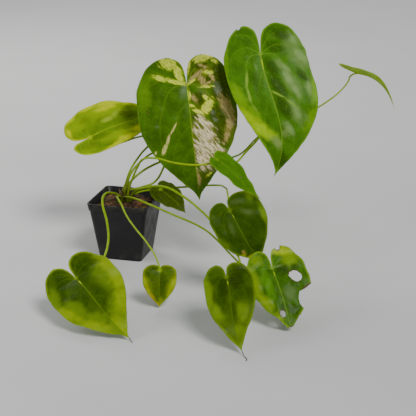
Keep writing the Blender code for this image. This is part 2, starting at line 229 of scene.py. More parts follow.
def addBump(shader, height, distance, strength):
    bump = addNode("Bump", {"Height": height, "Distance": distance, "Strength": strength})
    plug(shader, {"Normal": bump.outputs["Normal"]})


potShape = {"width": 0.100, "base": 0.070, "height": 0.095, "wall": 0.0012, "floor": 0.0018, "band": 0.012,
            "proud": 0.0014, "corner": 0.008, "cornerSteps": 11, "holeDepth": 0.006,
            # how far from the middle lines, and the radius
            "cornerHole": (0.022, 0.0045), "sideHole": (0.025, 0.0035)}
potLook = {"plastic": (0.007, 0.007, 0.008), "dust": (0.12, 0.10, 0.07), "scuff": (0.11, 0.11, 0.11),
           "roughness": 0.36,
           # how far up the dust at the foot goes, and how far down the dust and the scuffs at the rim
           "footDust": 0.03, "rimDust": 0.017, "rimScuff": 0.006}


def wallHalf(height):
    top = potShape["width"] / 2 - potShape["proud"]
    return potShape["base"] / 2 + (top - potShape["base"] / 2) * height / potShape["height"]


# Moves the verts of a circle out to a rounded square
def squareOff(verts, half, height, corner):
    steps = len(verts) // 4
    for index, vert in enumerate(verts):
        quarter, step = divmod(index, steps)
        angle = (quarter + step / (steps - 1)) * math.pi / 2
        middle = Matrix.Rotation(quarter * math.pi / 2, 2) @ Vector((half - corner, half - corner))
        vert.co = (middle.x + corner * math.cos(angle), middle.y + corner * math.sin(angle), height)


# Extrudes the open ring of edges to a new size and height
def nextRing(bm, edges, factor, rise):
    made = bmesh.ops.extrude_edge_only(bm, edges=edges)["geom"]
    verts = [part for part in made if isinstance(part, bmesh.types.BMVert)]
    bmesh.ops.scale(bm, verts=verts, vec=(factor, factor, 1.0))
    bmesh.ops.translate(bm, verts=verts, vec=(0.0, 0.0, rise))
    return [part for part in made if isinstance(part, bmesh.types.BMEdge)]


def potMaterial():
    material, shader = newMaterial("blackPotPlastic")
    where = ownPlace(shader)
    high = parts(where)[2]
    cloud = noiseOf(where, 45.0, 5.0, 0.6)
    speck = noiseOf(where, 420.0, 3.0, 0.6)
    top = potShape["height"]
    low = softStep(high, 0.0, potLook["footDust"], 0.45, 0.06)
    rim = softStep(high, top - potLook["rimDust"], top, 0.0, 0.35)
    dust = times(softStep(cloud, 0.45, 0.75), plus(low, rim))
    dust = plus(dust, softStep(speck, 0.66, 0.76, 0.0, 0.25))
    colour = mixColour(dust, potLook["plastic"], potLook["dust"])
    scratch = noiseOf(vectorSums("MULTIPLY", where, (900.0, 900.0, 60.0)), 1.0, 2.0)
    scuffed = softStep(high, top - potLook["rimScuff"], top + 0.0001, 0.05, 0.55)
    colour = mixColour(times(softStep(scratch, 0.62, 0.70), scuffed), colour, potLook["scuff"])
    grain = noiseOf(where, 1500.0, 2.0)
    addBump(shader, plus(grain, times(cloud, 2.0)), 0.0002, 0.25)
    rough = softStep(cloud, 0.3, 0.7, potLook["roughness"] - 0.05, potLook["roughness"] + 0.16)
    plug(shader, {"Base Color": colour, "Specular IOR Level": 0.3, "Roughness": rough})
    return material


def makePot():
    height, wall, floor = potShape["height"], potShape["wall"], potShape["floor"]
    wide = potShape["width"] / 2
    inner = wallHalf(height) - wall
    bottom = wallHalf(floor) - wall
    band = height - potShape["band"]
    below = wallHalf(band)
    outline = (
        (wallHalf(0.0) - 0.0012, 0.0), (wallHalf(0.0) - 0.0004, 0.0002), (wallHalf(0.001), 0.0011),
        (below, band - 0.0002), (below + 0.0003, band), (below + 0.0012, band + 0.0001),
        (below + potShape["proud"], band + 0.0005),
        (wide, height - 0.0012), (wide - 0.0002, height - 0.0004), (wide - 0.0008, height),
        (inner + 0.0005, height), (inner, height - 0.0005),
        (bottom, floor + 0.0012), (bottom - 0.0010, floor),
    )
    pot = bmesh.new()
    made = bmesh.ops.create_circle(pot, cap_ends=True, segments=4 * potShape["cornerSteps"], radius=1.0)
    squareOff(made["verts"], outline[0][0], 0.0, potShape["corner"] * potShape["base"] / potShape["width"])
    edges = pot.edges[:]
    for (half, low), (nextHalf, nextLow) in zip(outline, outline[1:]):
        edges = nextRing(pot, edges, nextHalf / half, nextLow - low)
    bmesh.ops.holes_fill(pot, edges=edges)
    bmesh.ops.recalc_face_normals(pot, faces=pot.faces)
    cutters = []
    for quarter in range(4):
        for (reach, radius), turn in ((potShape["sideHole"], 0.0), (potShape["cornerHole"], 0.5)):
            angle = (quarter + turn) * math.pi / 2
            out = reach * (math.sqrt(2) if turn else 1.0)
            cutter = bmesh.new()
            seat = Matrix.Translation((out * math.cos(angle), out * math.sin(angle), 0.001))
            bmesh.ops.create_cone(cutter, cap_ends=True, segments=32, radius1=radius, radius2=radius,
                                  depth=potShape["holeDepth"], matrix=seat)
            cutters.append(cutter)
    obj = meshObject("nursery_pot", cutAway(pot, cutters), [potMaterial()])
    obj.data.set_sharp_from_angle(angle=math.radians(50))
    dress(obj, "pot_plastic", "pot")


mixShape = {
    "edge": 0.081, "top": 0.088, "flat": 0.013, "cells": 80,
    # the height and the fineness of the mound's bumps and of its grit
    "relief": (0.0026, 95), "grit": ((0.0014, 260), (0.0008, 700)),
    "waist": 0.04,            # the mound's hidden side has a ring at this height
    "chips": 38, "seed": 11, "length": (0.008, 0.015), "width": (0.005, 0.009), "depth": (0.003, 0.005),
    "smallChips": 330, "smallSeed": 3, "smallLength": (0.0025, 0.0085),
    "wear": (0.16, 420),      # a chip's wear as a share of its thickness, and how fine it is
    # room kept free round the stem
    "clear": {"chips": 0.016, "smallChips": 0.0125, "crumbs": 0.011, "fibres": 0.014, "moss": 0.016},
    "crumbs": 260, "litterSeed": 8, "crumb": (0.0004, 0.0012),
    "fibres": 46, "fibreStep": 0.0035, "fibreRadii": (0.0002, 0.0003, 0.0003, 0.0002, 0.0001),
    "mossTufts": 12, "strands": 26, "strandLength": (0.0016, 0.0042), "strandRadii": (0.00035, 0.00008),
    "tuftSpread": 0.0018,
}
mixLook = {"soil": (0.020, 0.011, 0.006), "soilPale": (0.060, 0.032, 0.014), "fibre": (0.30, 0.21, 0.07),
           "barkDark": (0.030, 0.014, 0.007), "bark": (0.115, 0.048, 0.018),
           "barkPale": (0.27, 0.115, 0.036), "moss": (0.16, 0.22, 0.015)}


def mixHeight(x, y):
    half = potShape["width"] / 2
    far = min(1.0, max(0.0, (math.hypot(x, y) - mixShape["flat"]) / (half - mixShape["flat"])))
    uneven = min(1.0, far * 3.0) * (1.0 if max(abs(x), abs(y)) < half * 0.84 else 0.4)
    relief, fine = mixShape["relief"]
    fall = (mixShape["top"] - mixShape["edge"]) * far ** 1.5
    return mixShape["top"] - fall + relief * uneven * noise.noise(Vector((x, y, 0.0)) * fine)


def plainBark(name, colour, roughness):
    material, shader = newMaterial(name)
    where = ownPlace(shader)
    grain = noiseOf(where, 500.0, 4.0)
    bark = mixColour(softStep(grain, 0.3, 0.7), shaded(colour, 0.5), colour)
    plug(shader, {"Base Color": bark, "Roughness": roughness})
    addBump(shader, grain, 0.0004, 0.5)
    return material


def soilMaterial():
    material, shader = newMaterial("darkMix")
    where = ownPlace(shader)
    crumb = noiseOf(where, 380.0, 6.0, 0.7)
    damp = noiseOf(where, 40.0, 2.0)
    colour = mixColour(softStep(crumb, 0.4, 0.7), mixLook["soil"], mixLook["soilPale"])
    green = times(softStep(damp, 0.56, 0.7), softStep(crumb, 0.5, 0.6))
    colour = mixColour(green, colour, mixLook["moss"])
    addBump(shader, crumb, 0.002, 0.8)
    plug(shader, {"Base Color": colour, "Roughness": 0.92})
    return material


# Each chip carries its own tone and its own coordinates, so its grain runs along it
def barkMaterial():
    material, shader = newMaterial("barkChips")
    tone = readLayer(shader, "chipTone", "Fac")
    own = readLayer(shader, "chipPlace")
    grain = noiseOf(vectorSums("MULTIPLY", own, (180.0, 900.0, 900.0)), 1.0, 4.0, 0.6)
    colour = mixColour(softStep(tone, 0.0, 0.55), mixLook["barkDark"], mixLook["bark"])
    colour = mixColour(softStep(tone, 0.6, 1.0), colour, mixLook["barkPale"])
    colour = mixColour(softStep(grain, 0.42, 0.72, 0.0, 0.75), colour, mixLook["barkDark"])
    addBump(shader, grain, 0.0012, 0.8)
    plug(shader, {"Base Color": colour, "Roughness": 0.82})
    return material


# A worn, angular chip at its seat on the mix
def addChip(bm, size, jitter, seat, tone):
    wear, fine = mixShape["wear"]
    chip = bmesh.new()
    bmesh.ops.create_cube(chip, size=1.0)
    bmesh.ops.scale(chip, verts=chip.verts, vec=size)
    for vert in chip.verts:
        vert.co *= jitter()
    bmesh.ops.bevel(chip, geom=chip.edges[:], offset=min(size) * wear, offset_type="OFFSET", segments=1,
                    profile=0.5, affect="EDGES", material=-1)
    long = [edge for edge in chip.edges if edge.calc_length() > size[0] * 0.5]
    bmesh.ops.subdivide_edges(chip, edges=long, cuts=1, use_grid_fill=True)
    for vert in chip.verts:
        vert.co += noise.noise_vector(vert.co * fine + Vector((tone * 90, 0, 0))) * min(size) * wear
    placeLayer = chip.verts.layers.float_vector.new("chipPlace")
    toneLayer = chip.verts.layers.float.new("chipTone")
    for vert in chip.verts:
        vert[placeLayer] = vert.co + Vector((tone, tone * 3, 0))
        vert[toneLayer] = tone
    bmesh.ops.transform(chip, matrix=seat, verts=chip.verts)
    joinInto(bm, chip)


def turnAbout(draw, tip, roll):
    tilt = Matrix.Rotation(math.radians(draw.uniform(-roll, roll)), 4, "X")
    tilt = Matrix.Rotation(math.radians(draw.uniform(-tip, tip)), 4, "Y") @ tilt
    return Matrix.Rotation(draw.uniform(0, math.tau), 4, "Z") @ tilt


def chipSpot(draw, room, clear):
    while True:
        x = draw.uniform(-room, room)
        y = draw.uniform(-room, room)
        if math.hypot(x, y) > clear:
            return x, y


def makeMix():
    low, waist = potShape["floor"] + touch, mixShape["waist"]
    clear = potShape["wall"] + touch * 1.4
    top = wallHalf(mixShape["edge"]) - clear
    corner = potShape["corner"]
    mound = bmesh.new()
    bmesh.ops.create_grid(mound, x_segments=mixShape["cells"], y_segments=mixShape["cells"], size=top)
    for vert in mound.verts:
        out = Vector((max(0.0, abs(vert.co.x) - top + corner), max(0.0, abs(vert.co.y) - top + corner)))
        if out.x > 0.0 and out.y > 0.0:
            out *= max(out.x, out.y) / out.length
            vert.co.x = math.copysign(top - corner + out.x, vert.co.x)
            vert.co.y = math.copysign(top - corner + out.y, vert.co.y)
        vert.co.z = mixHeight(vert.co.x, vert.co.y)
        vert.co.z += sum(high * noise.noise(vert.co * fine) for high, fine in mixShape["grit"])
    edges = [edge for edge in mound.edges if edge.is_boundary]
    edges = nextRing(mound, edges, (wallHalf(waist) - clear) / top, -mixShape["edge"] + waist)
    for vert in {vert for edge in edges for vert in edge.verts}:
        vert.co.z = waist
    edges = nextRing(mound, edges, (wallHalf(low) - clear) / (wallHalf(waist) - clear), low - waist)
    bmesh.ops.holes_fill(mound, edges=edges)
    bmesh.ops.recalc_face_normals(mound, faces=mound.faces)
    dress(meshObject("mix_mound", mound, [soilMaterial()]), "bark_mix", "potting_mix")

    chips = bmesh.new()
    free = mixShape["clear"]
    room = wallHalf(mixShape["edge"]) - potShape["wall"]
    draw = random.Random(mixShape["seed"])
    for _ in range(mixShape["chips"]):
        length = draw.uniform(*mixShape["length"])
        x, y = chipSpot(draw, room - length * 0.62, free["chips"] + length / 2)
        size = (length, draw.uniform(*mixShape["width"]), draw.uniform(*mixShape["depth"]))
        shares = [draw.uniform(0.78, 1.0) for _ in range(8)]
        seat = Matrix.Translation((x, y, mixHeight(x, y) + 0.0006)) @ turnAbout(draw, 24, 28)
        addChip(chips, size, iter(shares).__next__, seat, (length * 9100) % 1.0)
    draw = random.Random(mixShape["smallSeed"])
    for _ in range(mixShape["smallChips"]):
        length = draw.uniform(*mixShape["smallLength"])
        x, y = chipSpot(draw, room - length * 0.62, free["smallChips"])
        size = (length, length * draw.uniform(0.35, 0.75), length * draw.uniform(0.15, 0.4))
        seat = Matrix.Translation((x, y, mixHeight(x, y) + size[2] * draw.uniform(0.1, 0.9)))
        seat @= turnAbout(draw, 35, 35)
        addChip(chips, size, lambda: draw.uniform(0.7, 1.05), seat, draw.uniform(0.0, 1.0))
    obj = meshObject("bark_chips", chips, [barkMaterial()])
    obj.data.set_sharp_from_angle(angle=math.radians(32))
    dress(obj, "bark_mix", "potting_mix")
    makeLitter()


# Crumbs, dry fibres and tufts of moss
def makeLitter():
    draw = random.Random(mixShape["litterSeed"])
    free = mixShape["clear"]
    litter = bmesh.new()
    room = wallHalf(mixShape["edge"]) - 0.004
    for _ in range(mixShape["crumbs"]):
        x, y = chipSpot(draw, room, free["crumbs"])
        crumb = bmesh.new()
        size = draw.uniform(*mixShape["crumb"])
        bmesh.ops.create_icosphere(crumb, subdivisions=1, radius=size)
        for vert in crumb.verts:
            vert.co *= draw.uniform(0.6, 1.1)
        bmesh.ops.translate(crumb, verts=crumb.verts, vec=(x, y, mixHeight(x, y) + size * 0.8))
        joinInto(litter, crumb)
    for _ in range(mixShape["fibres"]):
        x, y = chipSpot(draw, room - 0.004, free["fibres"])
        heading = draw.uniform(0, math.tau)
        points = []
        for step in range(5):
            points.append(Vector((x, y, mixHeight(x, y) + 0.0010 + 0.0022 * math.sin(step * 0.8))))
            heading += draw.uniform(-0.7, 0.7)
            x = max(-room, min(room, x + mixShape["fibreStep"] * math.cos(heading)))
            y = max(-room, min(room, y + mixShape["fibreStep"] * math.sin(heading)))
        joinInto(litter, roundTube(points, mixShape["fibreRadii"], 3, 6), 1)
    for _ in range(mixShape["mossTufts"]):
        x, y = chipSpot(draw, room - 0.003, free["moss"])
        for _ in range(mixShape["strands"]):
            strand = bmesh.new()
            depth = draw.uniform(*mixShape["strandLength"])
            bmesh.ops.create_cone(strand, cap_ends=True, segments=5, depth=depth,
                                  radius1=mixShape["strandRadii"][0], radius2=mixShape["strandRadii"][1])
            bmesh.ops.translate(strand, verts=strand.verts, vec=(0.0, 0.0, depth * 0.45))
            spot = Vector([value + draw.gauss(0, mixShape["tuftSpread"]) for value in (x, y)] + [0.0])
            spot.x, spot.y = (max(-room, min(room, value)) for value in spot[:2])
            spot.z = mixHeight(spot.x, spot.y) + 0.0004
            seat = Matrix.Translation(spot) @ turnAbout(draw, 45, 45)
            bmesh.ops.transform(strand, matrix=seat, verts=strand.verts)
            joinInto(litter, strand, 2)
    paints = [soilMaterial(), plainBark("dryFibre", mixLook["fibre"], 0.8)]
    paints.append(plainBark("moss", mixLook["moss"], 0.9))
    dress(meshObject("mix_litter", litter, paints), "bark_mix", "potting_mix")


stemShape = {
    "radius": 0.0063, "low": 0.068, "top": 0.098, "steps": 30, "rootRadius": 0.0019,
    "scars": (0.07, 0.95),    # how deep the rings of old leaves are, as a share, and how close
    # bearing, reach and fall of each root
    "roots": ((20, 0.030, 0.036), (95, 0.026, 0.030), (160, 0.031, 0.040), (230, 0.024, 0.026),
              (300, 0.029, 0.034)),
    # bearing, distance from the middle, foot, length and lean of each dry sheath
    "sheaths": ((62, 0.0072, 0.0882, 0.021, 26), (98, 0.0070, 0.0882, 0.025, 14),
                (134, 0.0072, 0.0882, 0.019, 30), (172, 0.0074, 0.0882, 0.016, 42),
                (30, 0.0058, 0.0975, 0.013, 22), (112, 0.0056, 0.0975, 0.016, 12),
                (205, 0.0058, 0.0975, 0.011, 30), (295, 0.0058, 0.0975, 0.010, 24)),
    "sheathWall": 0.00025,
}
stemLook = {"green": (0.15, 0.19, 0.03), "brown": (0.12, 0.065, 0.025), "paper": (0.27, 0.17, 0.075)}


def stemMaterial():
    material, shader = newMaterial("ringedStem")
    where = ownPlace(shader)
    patchy = noiseOf(where, 160.0, 4.0)
    colour = mixColour(softStep(patchy, 0.4, 0.62), stemLook["green"], stemLook["brown"])
    addBump(shader, noiseOf(vectorSums("MULTIPLY", where, (300.0, 300.0, 1200.0)), 1.0), 0.0006, 0.6)
    plug(shader, {"Base Color": colour, "Roughness": 0.62})
    return material


def sheathMaterial():
    material, shader = newMaterial("papery")
    where = ownPlace(shader)
    grain = noiseOf(vectorSums("MULTIPLY", where, (1400.0, 1400.0, 120.0)), 1.0, 3.0)
    colour = mixColour(softStep(grain, 0.35, 0.65), shaded(stemLook["paper"], 0.4), stemLook["paper"])
    plug(shader, {"Base Color": colour, "Roughness": 0.72})
    addBump(shader, grain, 0.0003, 0.6)
    return material


# A dry sheath wraps round the stem at its foot and narrows as it leans out
def sheathMesh(bearing, reach, foot, length, lean):
    sheath = bmesh.new()
    bmesh.ops.create_grid(sheath, x_segments=8, y_segments=14, size=1.0)
    lean = math.radians(lean)
    for vert in sheath.verts:
        up = (vert.co.y + 1) / 2
        wrap = vert.co.x * 0.62 * (1 - up ** 1.6) * (1 - 0.2 * up)
        out = reach + length * math.sin(lean) * up ** 1.7
        out += 0.0005 * math.sin(up * 9 + vert.co.x * 3)
        vert.co = (out * math.cos(wrap), out * math.sin(wrap), foot + length * math.cos(lean) * up)
    bmesh.ops.remove_doubles(sheath, verts=sheath.verts, dist=1e-5)
    turn = Matrix.Rotation(math.radians(bearing) + viewTurn, 3, "Z")
    bmesh.ops.rotate(sheath, verts=sheath.verts, matrix=turn)
    bmesh.ops.recalc_face_normals(sheath, faces=sheath.faces)
    bmesh.ops.solidify(sheath, geom=sheath.faces[:], thickness=stemShape["sheathWall"])
    return sheath


def makeStem():
    radius, low, steps = stemShape["radius"], stemShape["low"], stemShape["steps"]
    stem = bmesh.new()
    width, high = radius * 0.75, low
    scarDepth, scarPace = stemShape["scars"]
    bmesh.ops.create_circle(stem, cap_ends=True, segments=40, radius=width,
                            matrix=Matrix.Translation((0.0, 0.0, low)))
    edges = stem.edges[:]
    for step in range(1, steps + 1):
        rise = (stemShape["top"] - low) * step / steps
        scar = 1.0 - scarDepth + scarDepth * abs(math.sin(step * scarPace))
        goal = radius * min(scar, 0.75 + rise * 42, 0.86 + (steps - step) * 0.09)
        edges = nextRing(stem, edges, goal / width, low + rise - high)
        width, high = goal, low + rise
    bmesh.ops.holes_fill(stem, edges=edges)
    bmesh.ops.recalc_face_normals(stem, faces=stem.faces)
    radii = [stemShape["rootRadius"] * share for share in (1, 1, 0.85, 0.6)]
    for bearing, reach, fall in stemShape["roots"]:
        out = Vector((math.cos(math.radians(bearing)), math.sin(math.radians(bearing)), 0.0))
        side = Vector((-out.y, out.x, 0.0)) * 0.003
        start = Vector((0.0, 0.0, low + 0.007))
        down = Vector((0.0, 0.0, -fall))
        points = (start, start + out * reach * 0.35 + down * 0.12,
                  start + out * reach * 0.75 + down * 0.45 + side, start + out * reach + down)
        joinInto(stem, roundTube(points, radii, 8, 14))
    dress(meshObject("stem_with_roots", stem, [stemMaterial()]), "green_stem", "stem_and_roots")
    sheaths = bmesh.new()
    for values in stemShape["sheaths"]:
        joinInto(sheaths, sheathMesh(*values))
    dress(meshObject("dry_sheaths", sheaths, [sheathMaterial()]), "green_stem")


# Half of a heart-shaped blade, from the notch round to the tip: the share of the half width, the share
# of the length (of the lobe, below zero), and how far down the midrib the row to that point starts
heart = (
    (0.00, 0.00, 0.00),
    (0.015, -0.28, 0.00),
    (0.05, -0.62, 0.00),
    (0.14, -0.86, 0.00),
    (0.38, -1.00, 0.00),
    (0.71, -0.75, 0.00),
    (0.94, -0.08, 0.00),
    (0.99, 0.28, 0.05),
    (0.86, 0.49, 0.20),
    (0.60, 0.67, 0.42),
    (0.28, 0.83, 0.66),
    (0.08, 0.925, 0.84),
    (0.02, 0.972, 0.94),
    (0.00, 1.00, 1.00),
)

# The veins of one half, in the same shares, with each vein's width in mm at its start and its end
midrib = (((0.0, 0.0), (0.0, 0.5), (0.0, 1.0)), (1.7, 0.5))
sideVeins = (
    (((0.0, 0.0), (0.10, -0.34), (0.30, -0.66), (0.52, -0.70), (0.66, -0.50)), (1.1, 0.3)),
    (((0.0, 0.0), (0.32, -0.26), (0.62, -0.16), (0.80, 0.08), (0.86, 0.26)), (1.2, 0.3)),
    (((0.0, 0.0), (0.26, 0.03), (0.48, 0.17), (0.60, 0.34), (0.58, 0.52), (0.46, 0.66)), (1.3, 0.3)),
    (((0.0, 0.16), (0.20, 0.24), (0.36, 0.36), (0.42, 0.50)), (0.7, 0.2)),
    (((0.0, 0.34), (0.22, 0.43), (0.38, 0.55), (0.38, 0.68)), (0.9, 0.3)),
    (((0.0, 0.52), (0.16, 0.60), (0.25, 0.70), (0.22, 0.79)), (0.7, 0.3)),
    (((0.0, 0.70), (0.08, 0.77), (0.11, 0.85)), (0.6, 0.2)),
)

# thickness in the middle and at the edge, how wide the rise between them is, and the veins' ridges below
bladeWall = {"middle": 0.0008, "edge": 0.0004, "rise": 0.004, "ridge": 0.0005}
bladeRelief = {
    "wobble": (0.010, 90),    # the outline strays by this share, and how fine that is
    "rolls": (45, 110),       # how fine the two sizes of roll are
    "calm": (0.012, 0.15),    # the relief fades this near the notch, and in this share before the tip
    "besideVein": 0.007,      # the swelling starts this far from a vein
}
veinLength = 0.15             # the length of leaf that the veins' widths are given for
lobeEase = 0.3                # past the notch, the lobe's scale eases into the length's over this share
bowScale = 6.75               # makes the midrib's widest bend the leaf's own bow
stalkShape = {
    "rings": {"low": (0.0086, 0.0883), "high": (0.0036, 0.0983)},   # the stalks' feet: radius and height
    "knee": 0.007, "kneeSize": 1.18,   # the stalk turns into the blade this far behind it, and swells there
    "midrib": ((0.16, 0.75), (0.28, 0.5)),   # under the blade: share of its length, share of the radius
    "samples": 20,
}
dryThread = {"radii": (0.0007, 0.0005, 0.0004, 0.0006), "inside": 0.002}   # it starts inside the blade
cutShape = {"sides": 26, "depth": 0.08, "ragged": (0.22, 2)}   # the raggedness as a share, and how fine

leafBase = {
    "slot": "green_leaf",
    # the blade's upper side looks this many degrees right of the viewer, and up
    "face": (0, 12),
    "lobe": 0.020,
    "bow": 0.0,               # the midrib's bend to the left, widest at two thirds of the length
    "arch": 0.006,
    "fold": 0.12,
    "droop": 0.10,
    "curl": 0.02,
    "lean": 0.0,
    "wave": (0.0012, 3.0, 0.0),
    "fine": (130, 30),        # rows round the outline, and cells from the midrib out
    "cuts": (),               # holes and tears: (left, along, radius, stretch, turn)
    "stalk": (0.0019, 0.0014),
    "ring": "low",
    "quilt": 0.0005,          # the blade swells this much between its veins
    "crumple": 0.0010,        # and rolls this much at random
    "deep": (0.050, 0.160, 0.0),
    "body": (0.080, 0.240, 0.0),
    "rim": (0.20, 0.38, 0.0),
    "rimWidth": 4.0,          # mm
    "rimRagged": 3.0,
    "rimShow": 0.8,
    "tip": (0.16, 0.32, 0.0),
    "tipShare": (0.8, 1.2),   # the tip's colour comes in between these shares of the length
    "vein": (0.24, 0.40, 0.01),
    "veinShow": 0.5,
    "under": (0.15, 0.27, 0.02),
    "roughness": 0.40,
    "gloss": 0.09,
    "coat": 0.0,
    "grain": 0.45,            # the strength of the small relief between the veins
    # a wash: its colour, and its spots as (left, along, half width, half length, turn, strength), in mm
    "washes": (),
    # a patch: two colours, how ragged, how fine, the streaks' heading, and its spots as above
    "patches": (),
    "thread": (),             # the dry tip's thread, from the blade's own tip
}

